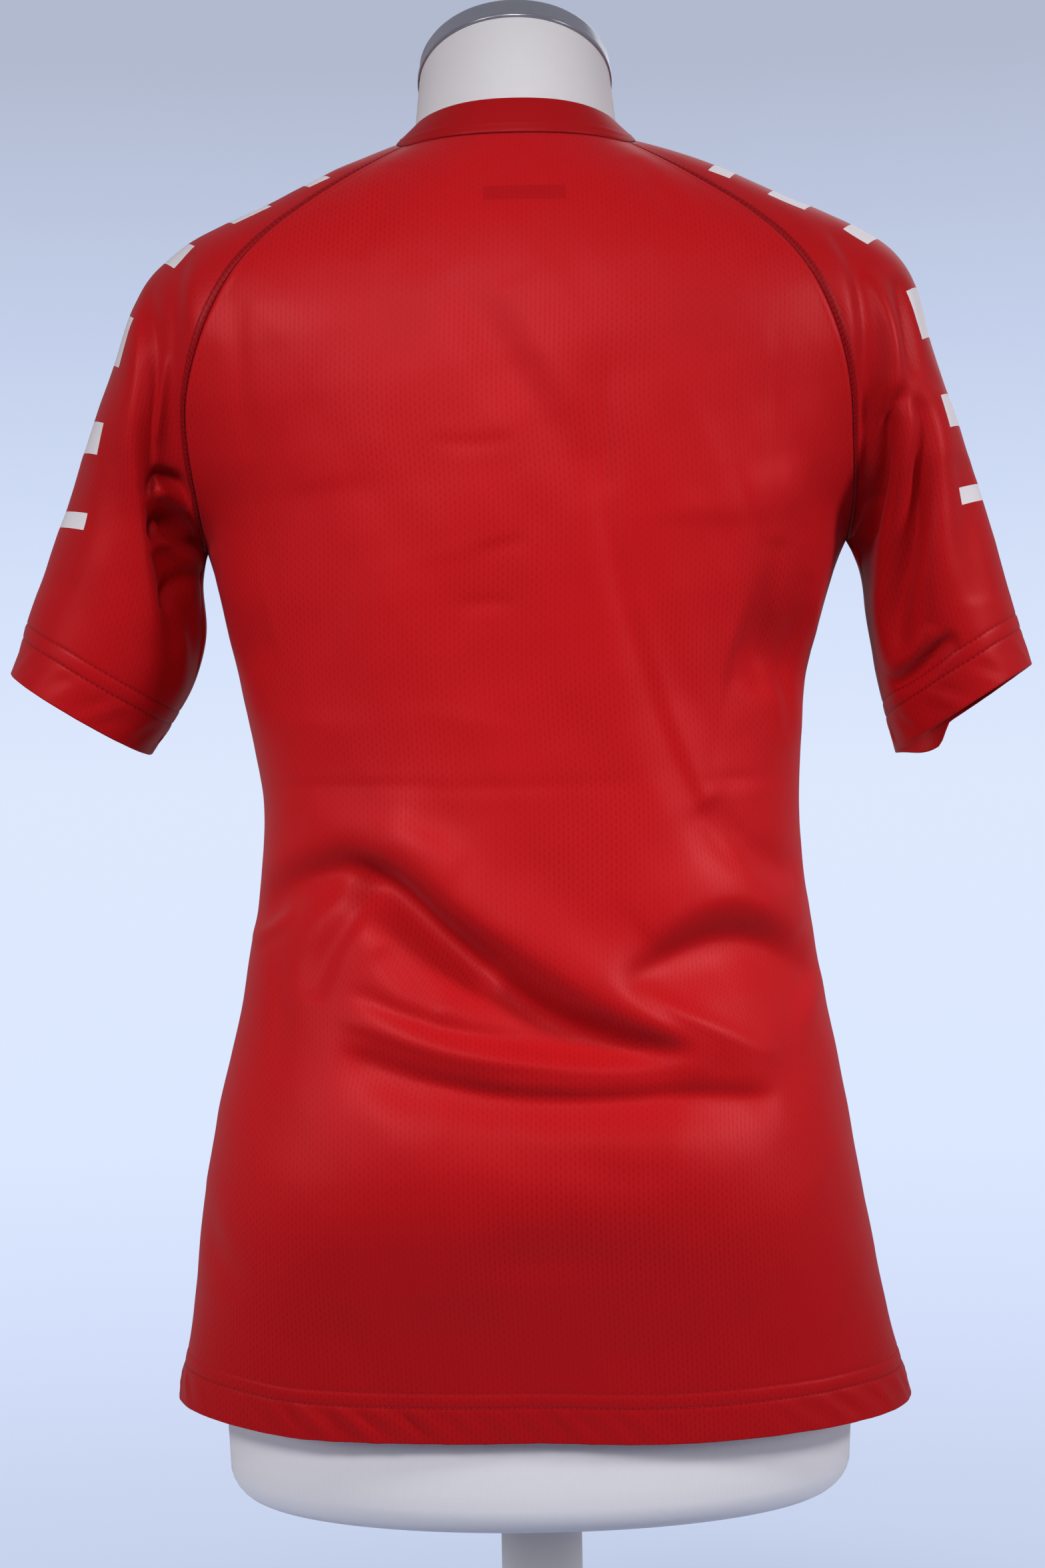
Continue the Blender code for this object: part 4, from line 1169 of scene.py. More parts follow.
HEM_ZONE = (33, 30.5, 28, 26.6, 25.6, 25, 24.4, 23.2, 21.4, 19.6, 18.6, 18, 17.4, 16.4, 14.4, 12, 9.6, 7.2,
            4.8, 2.6, 1.1, 0.3, 0)
CUFF_ZONE = (36, 33.5, 31, 29.6, 28.6, 28, 27.4, 26.2, 24.2, 22, 20.6, 20, 19.4, 18.2, 16, 13.5, 11, 8.5, 6,
             3.8, 2.0, 0.8, 0)
WEAVES = {
    "back_panel": Weave(126, -1, HEM_ZONE),
    "front_panel": Weave(96, 1, HEM_ZONE),
    "sleeve_left": Weave(116, 1, CUFF_ZONE),
    "sleeve_right": Weave(116, -1, CUFF_ZONE),
}


class Shell:
    """Fine surface of the jersey, a grid for each panel with rows from the neck down, mm."""

    SHARP_COLUMNS = 5.0
    RASTER = 1.0
    UNDERARM_LEAN = 0.15
    SEAM_END_STEP = 40.0
    SEAM_END_ROWS = 12.0

    def __init__(self, coarse: CoarseShell) -> None:
        """Refines the coarse panels so that their seams still share points."""
        seams = [coarse.panel(name)[: UNDERARM + 1, column] for name, column, _, _ in SEAM_LINKS]
        self.yoke_knots = np.mean([run(seam, 0) for seam in seams], axis=0)
        self.rows_above = int(self.yoke_knots[-1] / WEAVES["back_panel"].row_step)
        self.points: dict[str, Array] = {}
        self.across: dict[str, Array] = {}
        self.down: dict[str, Array] = {}
        for name in PANELS:
            self.refine(name, coarse.panel(name), WEAVES[name])
        self.measure()

    def refine(self, name: str, coarse: Array, weave: Weave) -> None:
        """Refines one panel, first along its rows and then down its columns."""
        knots = np.arange(coarse.shape[1], dtype=float)
        dense_at = np.linspace(0, knots[-1], 16 * len(knots))
        dense = read_spline(knots, coarse.transpose(1, 0, 2), np.repeat(dense_at[:, None], len(coarse), 1))
        length = run(dense, 0)
        side = np.array(weave.beside_seam)
        middle = np.linspace(0, 1, weave.columns + 1)[1:-1]
        at = []
        for row in range(len(coarse)):
            total = length[-1, row]
            beside = side * min(1.0, total / (4 * side[-1]))
            between = beside[-1] + middle * (total - 2 * beside[-1])
            places = np.concatenate([beside, between, total - beside[::-1]])
            at.append(np.interp(places, length[:, row], dense_at))
        at = np.array(at).T
        rows = read_spline(knots, coarse.transpose(1, 0, 2), at).transpose(1, 0, 2)
        self.points[name] = self.refine_down(rows, at.mean(axis=1), knots[-1], weave)

    def refine_down(self, rows: Array, place: Array, last: float, weave: Weave) -> Array:
        """Refines the columns; beside a seam the curve may turn sharply at the underarm."""
        below = run(rows[UNDERARM:, [0, -1]].mean(axis=1), 0)
        knots = np.concatenate([self.yoke_knots, self.yoke_knots[-1] + below[1:]])
        count = rows.shape[1]
        zone = np.array(weave.zone, float)
        raster = np.arange(knots[-1] - 1.6 * zone[0], knots[-1], self.RASTER)
        raster = np.append(raster, knots[-1])
        tail = self.joined(knots, rows, np.repeat(raster[:, None], count, 1), place, last)
        away = run(tail[::-1], 0)[::-1]
        near = np.array([np.interp(zone, away[::-1, c], raster[::-1]) for c in range(count)]).T
        above = np.linspace(0, self.yoke_knots[-1], self.rows_above + 1)
        steps = int(round((knots[-1] - knots[UNDERARM] - zone[0]) / weave.row_step))
        share = np.linspace(0, 1, steps + 1)[1:-1, None]
        between = knots[UNDERARM] + share * (near[0][None] - knots[UNDERARM])
        at = np.concatenate([np.repeat(above[:, None], count, 1), between, near])
        return self.joined(knots, rows, at, place, last)

    def joined(self, knots: Array, rows: Array, at: Array, place: Array, last: float) -> Array:
        """Reads the columns as one fair spline in the middle of a panel and as two at its edges."""
        keep = np.abs(np.arange(len(knots)) - UNDERARM) > 1
        whole = read_spline(knots[keep], rows[keep], at)
        upper = read_spline(knots[: UNDERARM + 1], rows[: UNDERARM + 1], np.minimum(at, knots[UNDERARM]))
        lower = read_spline(knots[UNDERARM:], rows[UNDERARM:], np.maximum(at, knots[UNDERARM]))
        split = np.where((at <= knots[UNDERARM])[..., None], upper, lower)
        share = ease(np.minimum(place, last - place) / self.SHARP_COLUMNS)[None, :, None]
        return whole * share + split * (1 - share)

    def measure(self) -> None:
        """Measures how far each point is from the edges of its panel, and its place in the flat cloth."""
        self.from_start, self.to_end, self.to_hem = {}, {}, {}
        for name, points in self.points.items():
            across, down = run(points, 1), run(points, 0)
            self.from_start[name] = across
            self.to_end[name] = across[:, -1:] - across
            self.to_hem[name] = down[-1:] - down
            middle = points.shape[1] // 2
            self.across[name] = across - across[:, middle : middle + 1]
            self.down[name] = np.repeat(down[:, middle : middle + 1], points.shape[1], 1)

    def seam_distance(self, name: str) -> Array:
        """Distance from the nearer raglan seam, large below the underarm on the body."""
        near = np.minimum(self.from_start[name], self.to_end[name])
        past = np.arange(len(near)) - self.rows_above
        return near + (self.SEAM_END_STEP * ease(past / self.SEAM_END_ROWS))[:, None]

    def sewn(self) -> list[tuple[slice, str, int, str, int]]:
        """Rows of each seam, with the panel and the column on either side of it."""
        cut = self.rows_above
        raglan = [(slice(0, cut + 1), *link) for link in SEAM_LINKS]
        return raglan + [(slice(cut, None), *link) for link in SIDE_LINKS]

    def normals(self) -> dict[str, Array]:
        """Outward normals of each panel; along a seam, halfway between those of the two panels."""
        out = {}
        for name, points in self.points.items():
            along_row, along_column = np.gradient(points, axis=1), np.gradient(points, axis=0)
            out[name] = unit(np.cross(along_row, along_column)) * WEAVES[name].outward
        for rows, first, one, second, two in self.sewn():
            mean = unit(out[first][rows, one] + out[second][rows, two])
            out[first][rows, one] = out[second][rows, two] = mean
        for side, column, sleeve in ((-1, 0, "sleeve_left"), (1, -1, "sleeve_right")):
            corner = unit(np.array([self.UNDERARM_LEAN * side, 0, -1.0]))
            for name, at in (("back_panel", column), ("front_panel", column), (sleeve, 0), (sleeve, -1)):
                out[name][self.rows_above, at] = corner
        return out

    def push(self, depth: dict[str, Array]) -> None:
        """Moves each point outwards by its depth, the same on both sides of a seam."""
        out = self.normals()
        for rows, first, one, second, two in self.sewn():
            mean = (depth[first][rows, one] + depth[second][rows, two]) / 2
            depth[first][rows, one] = depth[second][rows, two] = mean
        for name in PANELS:
            self.points[name] = self.points[name] + out[name] * depth[name][..., None]


def unrest(points: Array, wave: float, seed: float) -> Array:
    """Slow, smooth unevenness of hanging cloth, from -1 to 1.

    Args:
        points: Where to read it, mm.
        wave: Its wave length, mm.
        seed: Shifts it.

    Returns:
        The unevenness.
    """
    x, y, z = np.moveaxis(points * (2 * math.pi / wave), -1, 0)
    total = np.sin(x + 0.6 * np.sin(0.7 * z + seed) + seed) * np.sin(0.8 * z + 0.7 * np.sin(0.9 * x - seed))
    total += 0.6 * np.sin(1.7 * z + 0.9 * x + 2.1 * seed) * np.sin(1.3 * x - 0.4 * z + 0.8 * y + seed)
    return total / 1.6


class Folds:
    """Presses the listed creases into the shell."""

    SAMPLES = 97
    REACH = 2.8
    FACING_GAIN = 2.2
    TAPER_POWER = 0.6
    END_FADE = 0.09
    SEAM_FADE = 6.0
    NECK_FADE = 14.0

    def __init__(self, creases: Sequence[Crease]) -> None:
        """Keeps the creases to press."""
        self.creases = creases

    def path(self, crease: Crease) -> Array:
        """Smooth curve through the crease's points."""
        points = np.array(crease.points, float)
        knots = along(points)
        at = np.linspace(0, knots[-1], self.SAMPLES)
        return read_spline(knots, points[:, None, :], at[:, None])[:, 0]

    def depth(self, crease: Crease, points: Array, out: Array) -> Array:
        """Depth of one crease over points.

        Args:
            crease: The crease.
            points: Points, n x 3.
            out: Normals there.

        Returns:
            Move along the normals, mm.
        """
        path = self.path(crease)
        flat = points[:, [0, 2]]
        step = np.linalg.norm(np.diff(path, axis=0), axis=1).mean()
        widest = max(crease.above, crease.below) * self.REACH
        low, high = path.min(axis=0) - widest, path.max(axis=0) + widest
        facing = np.clip(out[:, 1] * crease.face.value * self.FACING_GAIN, 0, 1)
        near = np.flatnonzero(((flat > low) & (flat < high)).all(axis=1) & (facing > 0))
        result = np.zeros(len(points))
        if not len(near):
            return result
        spread = flat[near, None] - path[None]
        distance = np.linalg.norm(spread, axis=2)
        k = distance.argmin(axis=1)
        tangent = unit(np.gradient(path, axis=0))[k]
        toward = np.take_along_axis(spread, k[:, None, None], 1)[:, 0]
        lead = path[-1] - path[0]
        aside = tangent[:, 0] * toward[:, 1] - tangent[:, 1] * toward[:, 0]
        width = np.where(aside * lead[np.abs(lead).argmax()] > 0, crease.above, crease.below)
        ahead = (tangent * toward).sum(axis=1)
        place = np.clip((k + ahead / step) / (self.SAMPLES - 1), 0, 1)
        inward = ease(np.minimum(place, 1 - place) / self.END_FADE)
        taper = np.sin(math.pi * place) ** self.TAPER_POWER * inward
        beyond = (place <= 0) | (place >= 1)
        shape = np.exp(-((np.where(beyond, distance.min(axis=1), np.abs(aside)) / width) ** 2))
        result[near] = crease.depth * shape * taper * facing[near]
        return result

    def press(self, shell: Shell) -> None:
        """Presses all creases into the shell."""
        out = shell.normals()
        depth = {}
        for name, points in shell.points.items():
            total = np.zeros(points.shape[:2]).reshape(-1)
            for crease in self.creases:
                if name in crease.area.value:
                    total += self.depth(crease, points.reshape(-1, 3), out[name].reshape(-1, 3))
            depth[name] = total.reshape(points.shape[:2]) * ease(shell.seam_distance(name) / self.SEAM_FADE)
            depth[name] *= ease(shell.down[name] / self.NECK_FADE)
        shell.push(depth)


class Relief:
    """Low relief of the sewing: sunk seams, turned hems and the unevenness of the cloth."""

    NECK_FADE = 40.0
    SEAM_WIDTH = 0.75
    BAND_EDGE = 0.9
    BAND_LINE = 0.45
    BODY_RIDGE = (2.6, 1.4)
    SIDE_FADE = 6.0
    LINE_WIDTH = 0.7
    GATHER_ABOVE = (2.5, 3.5)
    GATHER_PITCH = 6.1
    PUCKER_SLANT = 0.9
    PUCKER_PITCHES = (19.0, 11.3)
    BAND_INSET = 0.2
    SEAM_SINK = 0.6
    SEAM_BAND = 3.9
    BAND_RISE = 0.12
    BAND_SINK = 0.16
    BODY_RISE = 0.18
    SIDE_SEAM = 0.3
    BODY_LINES = (25.0, 18.0)
    SLEEVE_LINES = (28.0, 20.0)
    LINE_SINKS = (0.30, 0.42)
    HEM_RISE = 0.22
    BODY_PUCKER = 1.0
    SLEEVE_PUCKER = 0.4
    GATHER = 0.07
    UNREST = ((74.0, 0.40, 1.3), (33.0, 0.10, 4.1), (11.0, 0.012, 2.2))

    def apply(self, shell: Shell) -> None:
        """Moves the points of the shell."""
        for step in (self.unrest, self.seams, self.hems):
            shell.push(step(shell))

    def unrest(self, shell: Shell) -> dict[str, Array]:
        """Slow unevenness, less of it where the cloth is drawn tight near the neck."""
        depth = {}
        for name, points in shell.points.items():
            total = sum(size * unrest(points, wave, seed) for wave, size, seed in self.UNREST)
            depth[name] = total * ease(shell.down[name] / self.NECK_FADE)
        return depth

    def seams(self, shell: Shell) -> dict[str, Array]:
        """Raglan seams sunk between the panels, with the seam allowance raised under the sleeve."""
        depth = {}
        for name in PANELS:
            near = np.minimum(shell.from_start[name], shell.to_end[name])
            groove = -self.SEAM_SINK * bell(near, 0, self.SEAM_WIDTH)
            if name.startswith("sleeve"):
                fall = ease((near - self.SEAM_BAND + self.BAND_INSET) / self.LINE_WIDTH)
                band = ease(near / self.BAND_EDGE) * (1 - fall)
                line = bell(near, self.SEAM_BAND, self.BAND_LINE)
                groove = groove + self.BAND_RISE * band - self.BAND_SINK * line
            else:
                groove = groove + self.BODY_RISE * bell(near, *self.BODY_RIDGE)
            past = np.arange(len(near))[:, None] - shell.rows_above
            side = np.exp(-past / self.SIDE_FADE) * (1 - self.SIDE_SEAM) + self.SIDE_SEAM
            depth[name] = groove * np.where(past <= 0, 1.0, side)
        return depth

    def hems(self, shell: Shell) -> dict[str, Array]:
        """Stitch lines pressed into the hems, and the slanted puckers that they draw."""
        depth = {}
        for name in PANELS:
            sleeve = name.startswith("sleeve")
            upper, lower = self.SLEEVE_LINES if sleeve else self.BODY_LINES
            away, across = shell.to_hem[name], shell.across[name]
            total = np.zeros_like(away)
            for line, sink in zip((upper, lower), self.LINE_SINKS):
                total -= sink * bell(away, line, self.LINE_WIDTH)
            total += self.HEM_RISE * ease((upper - away) / 1.0)
            slant = across + self.PUCKER_SLANT * away + 4.0 * np.sin(across / 37.0)
            wide, fine = (slant * 2 * math.pi / pitch for pitch in self.PUCKER_PITCHES)
            swing = np.sin(wide) + 0.5 * np.sin(fine + 1.0)
            patchy = 0.5 + 0.5 * np.sin(across / 29.0 + 1.7) * np.sin(across / 71.0)
            window = np.clip(away / 7.0, 0.25, 1) * (1 - ease((away - lower + 6) / 6.0))
            above = bell(away - upper, *self.GATHER_ABOVE)
            gather = np.sin(across * 2 * math.pi / self.GATHER_PITCH + 2 * np.sin(across / 23.0))
            pucker = self.SLEEVE_PUCKER if sleeve else self.BODY_PUCKER
            depth[name] = total + (pucker * swing * patchy * window + self.GATHER * gather * above * patchy)
        return depth


def clear_of(form: "DressForm", shell: Shell, clear: float) -> None:
    """Pushes the fine shell out of the form, the same on both sides of a seam.

    Args:
        form: What the cloth rests on.
        shell: The shell to move.
        clear: Smallest distance of its outer face from the form, mm.
    """
    for name, points in shell.points.items():
        flat = points.reshape(-1, 3)
        for _ in range(2):
            flat = flat + form.lift(flat, clear)
        shell.points[name] = flat.reshape(points.shape)


# ---------------------------------------------------------------- meshes

UV_JUMP = 0.1


def deselect() -> None:
    """Leaves nothing selected."""
    for obj in bpy.context.selected_objects:
        obj.select_set(False)


def activate(obj: bpy.types.Object) -> None:
    """Selects one object and makes it active."""
    deselect()
    bpy.context.view_layer.objects.active = obj
    obj.select_set(True)


def report(obj: bpy.types.Object) -> None:
    """Logs a finished piece."""
    LOG.info("%s: %d faces", obj.name, len(obj.data.polygons))


def finish_mesh(obj: bpy.types.Object, material: bpy.types.Material,
                smooth_angle: float | None = None) -> None:
    """Gives an object its material and smooth faces.

    Args:
        obj: The object.
        material: Its material.
        smooth_angle: Angle past which an edge stays sharp, degrees; none does without one.
    """
    obj.data.materials.clear()
    obj.data.materials.append(material)
    obj.data.polygons.foreach_set("use_smooth", [True] * len(obj.data.polygons))
    if smooth_angle:
        activate(obj)
        bpy.ops.object.shade_smooth_by_angle(angle=math.radians(smooth_angle))
        obj.select_set(False)


def place_in_frame(obj: bpy.types.Object, node: str | None = None) -> None:
    """Says what a piece rides on and hides the solid that it stands for, if one, then logs it."""
    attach(obj, BODY)
    if node:
        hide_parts(node)
    report(obj)


def mesh_object(name: str, points: Array, faces: Array, uv: Array | None = None,
                edge: Array | None = None) -> bpy.types.Object:
    """Object of quads or triangles.

    Args:
        name: Name of the piece.
        points: Points, mm.
        faces: Point numbers of each face.
        uv: Place of each point in the flat cloth, m, or of each corner of each face.
        edge: Distance of each point from the raglan seam and from the hem, m.

    Returns:
        The object, in the scene.
    """
    mesh = bpy.data.meshes.new(name)
    mesh.from_pydata((np.asarray(points) * MM).tolist(), [], np.asarray(faces).tolist())
    for layer, values in (("cloth", uv), ("edge", edge)):
        if values is not None:
            corners = np.asarray(values)
            if len(corners) == len(points):
                corners = corners[np.asarray(faces).reshape(-1)]
            mesh.uv_layers.new(name=layer).data.foreach_set("uv", corners.reshape(-1).astype(np.float32))
    obj = bpy.data.objects.new(name, mesh)
    bpy.context.scene.collection.objects.link(obj)
    return obj


def grid_quads(rows: int, columns: int, around: bool = False) -> Array:
    """Quads of a grid of points, with its last column joined to its first if it goes around."""
    ids = np.arange(rows * columns).reshape(rows, columns)
    if around:
        ids = np.concatenate([ids, ids[:, :1]], axis=1)
    return np.stack([ids[:-1, :-1], ids[1:, :-1], ids[1:, 1:], ids[:-1, 1:]], axis=-1).reshape(-1, 4)


def circle_angles(columns: int) -> Array:
    """Angles of the columns of a closed loop."""
    return np.linspace(0, 2 * math.pi, columns + 1)[:-1]


def tube_corners(flat: Array, up: Array, around: float, quads: Array) -> Array:
    """UV of each corner of the faces of a closed tube, carried on past the column where it closes.

    Args:
        flat: Distance run around the tube at each column, mm.
        up: Distance run along it at each row, mm.
        around: Its whole girth, mm.
        quads: Its faces.

    Returns:
        The corners, m.
    """
    across, along_it = np.meshgrid(flat, up)
    uv = np.stack([across, along_it], axis=-1).reshape(-1, 2) * MM
    corners = uv[quads.reshape(-1)].reshape(-1, 4, 2)
    wraps = np.ptp(corners[..., 0], axis=1) > UV_JUMP
    ends = corners[wraps]
    ends[..., 0] += np.where(ends[..., 0] < UV_JUMP, around * MM, 0)
    corners[wraps] = ends
    return corners.reshape(-1, 2)


def face_outwards(obj: bpy.types.Object, fill_rims: bool = False) -> None:
    """Turns all faces outwards, and closes open rims with a face if asked to."""
    bm = bmesh.new()
    bm.from_mesh(obj.data)
    if fill_rims:
        bmesh.ops.holes_fill(bm, edges=[edge for edge in bm.edges if edge.is_boundary])
    bmesh.ops.recalc_face_normals(bm, faces=bm.faces)
    bm.to_mesh(obj.data)
    bm.free()


def apply_modifier(obj: bpy.types.Object, kind: str, **settings: object) -> None:
    """Adds a modifier, sets it and applies it."""
    activate(obj)
    modifier = obj.modifiers.new(kind.title(), kind)
    for key, value in settings.items():
        setattr(modifier, key, value)
    bpy.ops.object.modifier_apply(modifier=modifier.name)
    obj.select_set(False)


@dataclass
class Turn:
    """Cloth turned inwards at a hem."""

    radius: float = 0.75
    depth: float = 24.0
    steps: int = 6

    def rows(self, points: Array, out: Array, away: Array) -> tuple[Array, Array]:
        """Rows that round the edge and run back up inside.

        Args:
            points: Grid that ends at the hem.
            out: Its normals.
            away: Distance of its points from the hem.

        Returns:
            The further rows, and how far each lies past the hem along the cloth.
        """
        edge, normal = points[-1], out[-1]
        down = unit(points[-1] - points[-3])
        turns = np.linspace(0, math.pi, self.steps + 1)[1:]
        centre = edge - normal * self.radius
        bend = [centre + self.radius * (normal * math.cos(a) + down * math.sin(a)) for a in turns]
        inside = [row for row in range(len(points) - 2, -1, -1) if away[row].mean() <= self.depth]
        up = [points[row] - out[row] * 2 * self.radius for row in inside]
        past = [self.radius * a for a in turns]
        past += [self.radius * math.pi + away[row].mean() for row in inside]
        return np.array(bend + up), np.array(past)


@dataclass
class JerseyPanel:
    """One sewn panel of the jersey."""

    name: str
    slot: Slot
    flat: tuple[float, float]
    area: float
    turn_depth: float = 24.0
    thickness: float = 0.55
    rests_on: tuple[str, ...] = ("form_body",)

    def build(self, shell: Shell, out: Array, material: bpy.types.Material) -> bpy.types.Object:
        """Builds the panel's thin shell with its turned hem.

        Args:
            shell: Finished surface.
            out: Normals of this panel.
            material: Its knit.

        Returns:
            The object.
        """
        points = shell.points[self.name]
        further, past = Turn(depth=self.turn_depth).rows(points, out, shell.to_hem[self.name])
        across, down = shell.across[self.name], shell.down[self.name]
        grid = np.concatenate([points, further])
        across = np.concatenate([across, np.repeat(across[-1:], len(past), 0)])
        down = np.concatenate([down, down[-1:] + past[:, None]])
        quads = grid_quads(*grid.shape[:2])
        if WEAVES[self.name].outward > 0:
            quads = quads[:, ::-1]
        uv = np.stack([across, down], axis=-1).reshape(-1, 2) * MM
        seam = shell.seam_distance(self.name)
        seam = np.concatenate([seam, np.repeat(seam[-1:], len(past), 0)])
        hem = np.concatenate([shell.to_hem[self.name], np.repeat(-past[:, None], seam.shape[1], 1)])
        edge = np.stack([seam, hem], axis=-1).reshape(-1, 2) * MM
        obj = mesh_object(self.name + "_knit", grid.reshape(-1, 3), quads, uv, edge)
        finish_mesh(obj, material)
        apply_modifier(obj, "SOLIDIFY", thickness=self.thickness * MM, offset=-1.0)
        place_in_frame(obj, self.name)
        return obj


PANEL_CUTS = (
    JerseyPanel("back_panel", Slot.JERSEY, (0.505, 0.725), 0.296),
    JerseyPanel("front_panel", Slot.JERSEY, (0.505, 0.69), 0.278),
    JerseyPanel("sleeve_left", Slot.SLEEVE, (0.327, 0.406), 0.0947, turn_depth=27),
    JerseyPanel("sleeve_right", Slot.SLEEVE, (0.318, 0.417), 0.0973, turn_depth=27),
)


class StitchRun(NamedTuple):
    """Where stitches lie: their middles, directions and normals, and their length and radius, mm."""

    middles: Array
    directions: Array
    normals: Array
    length: float
    radius: float


@dataclass
class Stitches:
    """Rows of machine stitches, each a small rounded bar copied from one."""

    pitch: float = 2.4
    length: float = 1.9
    radius: float = 0.17
    reach: float = 0.4
    blunt: float = 0.6
    rung_radius: float = 0.7
    rung_lift: float = 0.02
    sides: int = 6
    rings: int = 4

    def template(self) -> tuple[Array, Array]:
        """Points and triangles of one stitch along X, from -1 to 1."""
        bpy.ops.mesh.primitive_uv_sphere_add(segments=self.sides, ring_count=self.rings, radius=1)
        obj = bpy.context.object
        bm = bmesh.new()
        bm.from_mesh(obj.data)
        bmesh.ops.triangulate(bm, faces=bm.faces)
        points = np.array([vert.co for vert in bm.verts])[:, [2, 0, 1]]
        faces = np.array([[vert.index for vert in face.verts] for face in bm.faces])
        bm.free()
        bpy.data.objects.remove(obj, do_unlink=True)
        points[:, 0] = power(points[:, 0], self.blunt)
        return points, faces

    def along_curve(self, curve: Array, out: Array, pitch: float | None = None,
                    lift: float = 0.05) -> StitchRun:
        """Stitches end to end along a curve.

        Args:
            curve: Points of the curve.
            out: Normals there.
            pitch: Distance between stitches, mm.
            lift: How far the stitches stand on the cloth, mm.

        Returns:
            Where they lie.
        """
        pitch = pitch or self.pitch
        length = along(curve)
        at = np.arange(pitch / 2, length[-1], pitch)
        reach = self.reach * pitch
        ahead = read_at(at + reach, length, curve) - read_at(at - reach, length, curve)
        normals = unit(read_at(at, length, out))
        size = self.length * pitch / self.pitch
        return StitchRun(read_at(at, length, curve) + normals * lift, unit(ahead), normals, size, self.radius)

    def rungs(self, first: Array, second: Array, out: Array, pitch: float, slant: float) -> StitchRun:
        """Slanted threads between two curves.

        Args:
            first: Points of one curve.
            second: Points of the other, beside them.
            out: Normals.
            pitch: Distance between threads, mm.
            slant: How far the second end runs ahead, mm.

        Returns:
            Where they lie.
        """
        length = along((first + second) / 2)
        at = np.arange(pitch, length[-1] - pitch, pitch)
        start = read_at(at - slant / 2, length, first)
        end = read_at(at + slant / 2, length, second)
        normals = unit(read_at(at, length, out))
        size = float(np.linalg.norm(end - start, axis=1).mean())
        middles = (start + end) / 2 + normals * self.rung_lift
        return StitchRun(middles, unit(end - start), normals, size, self.radius * self.rung_radius)

    def build(self, name: str, runs: Sequence[StitchRun], slot: Slot,
              material: bpy.types.Material) -> bpy.types.Object:
        """Joins all stitches of a seam in one mesh.

        Args:
            name: Name of the piece.
            runs: Its rows of stitches.
            slot: Its material slot; not used.
            material: Its thread.

        Returns:
            The object.
        """
        template, triangles = self.template()
        all_points, all_faces, start = [], [], 0
        for stitches in runs:
            side = unit(np.cross(stitches.normals, stitches.directions))
            up = np.cross(stitches.directions, side)
            ahead, beside, above = np.moveaxis(template[None, :, :, None], 2, 0)
            points = stitches.middles[:, None] + ahead * stitches.directions[:, None] * stitches.length / 2
            points = points + beside * side[:, None] * stitches.radius
            points = points + above * up[:, None] * stitches.radius
            count = len(stitches.middles)
            offset = start + np.arange(count)[:, None, None] * len(template)
            all_faces.append((triangles[None] + offset).reshape(-1, 3))
            all_points.append(points.reshape(-1, 3))
            start += count * len(template)
        obj = mesh_object(name, np.concatenate(all_points), np.concatenate(all_faces))
        finish_mesh(obj, material)
        place_in_frame(obj)
        return obj


def column_at(shell: Shell, name: str, distance: float, from_start: bool, rows: slice) -> tuple[Array, Array]:
    """Curve beside a seam of a panel, at a distance from it.

    Args:
        shell: Finished surface.
        name: The panel.
        distance: Distance from the seam, mm.
        from_start: Whether it is the seam of the first column.
        rows: Rows that the curve takes.

    Returns:
        Its points, and the column before each.
    """
    away = shell.from_start[name][rows] if from_start else shell.to_end[name][rows]
    points = shell.points[name][rows]
    columns = np.arange(points.shape[1], dtype=float)
    order = slice(None) if from_start else slice(None, None, -1)
    at = np.array([np.interp(distance, row[order], columns[order]) for row in away])
    low = np.clip(np.floor(at).astype(int), 0, points.shape[1] - 2)
    share = (at - low)[:, None]
    index = np.arange(len(points))
    return points[index, low] * (1 - share) + points[index, low + 1] * share, low


def hem_curve(shell: Shell, name: str, out: Array, distance: float) -> tuple[Array, Array]:
    """Curve over a panel at a distance above its hem, with normals."""
    away, points = shell.to_hem[name], shell.points[name]
    rows = np.arange(len(points), dtype=float)[::-1]
    at = np.array([np.interp(distance, away[::-1, c], rows) for c in range(points.shape[1])])
    low = np.clip(np.floor(at).astype(int), 0, len(points) - 2)
    share = (at - low)[:, None]
    index = np.arange(points.shape[1])
    curve = points[low, index] * (1 - share) + points[low + 1, index] * share
    return curve, out[low, index]


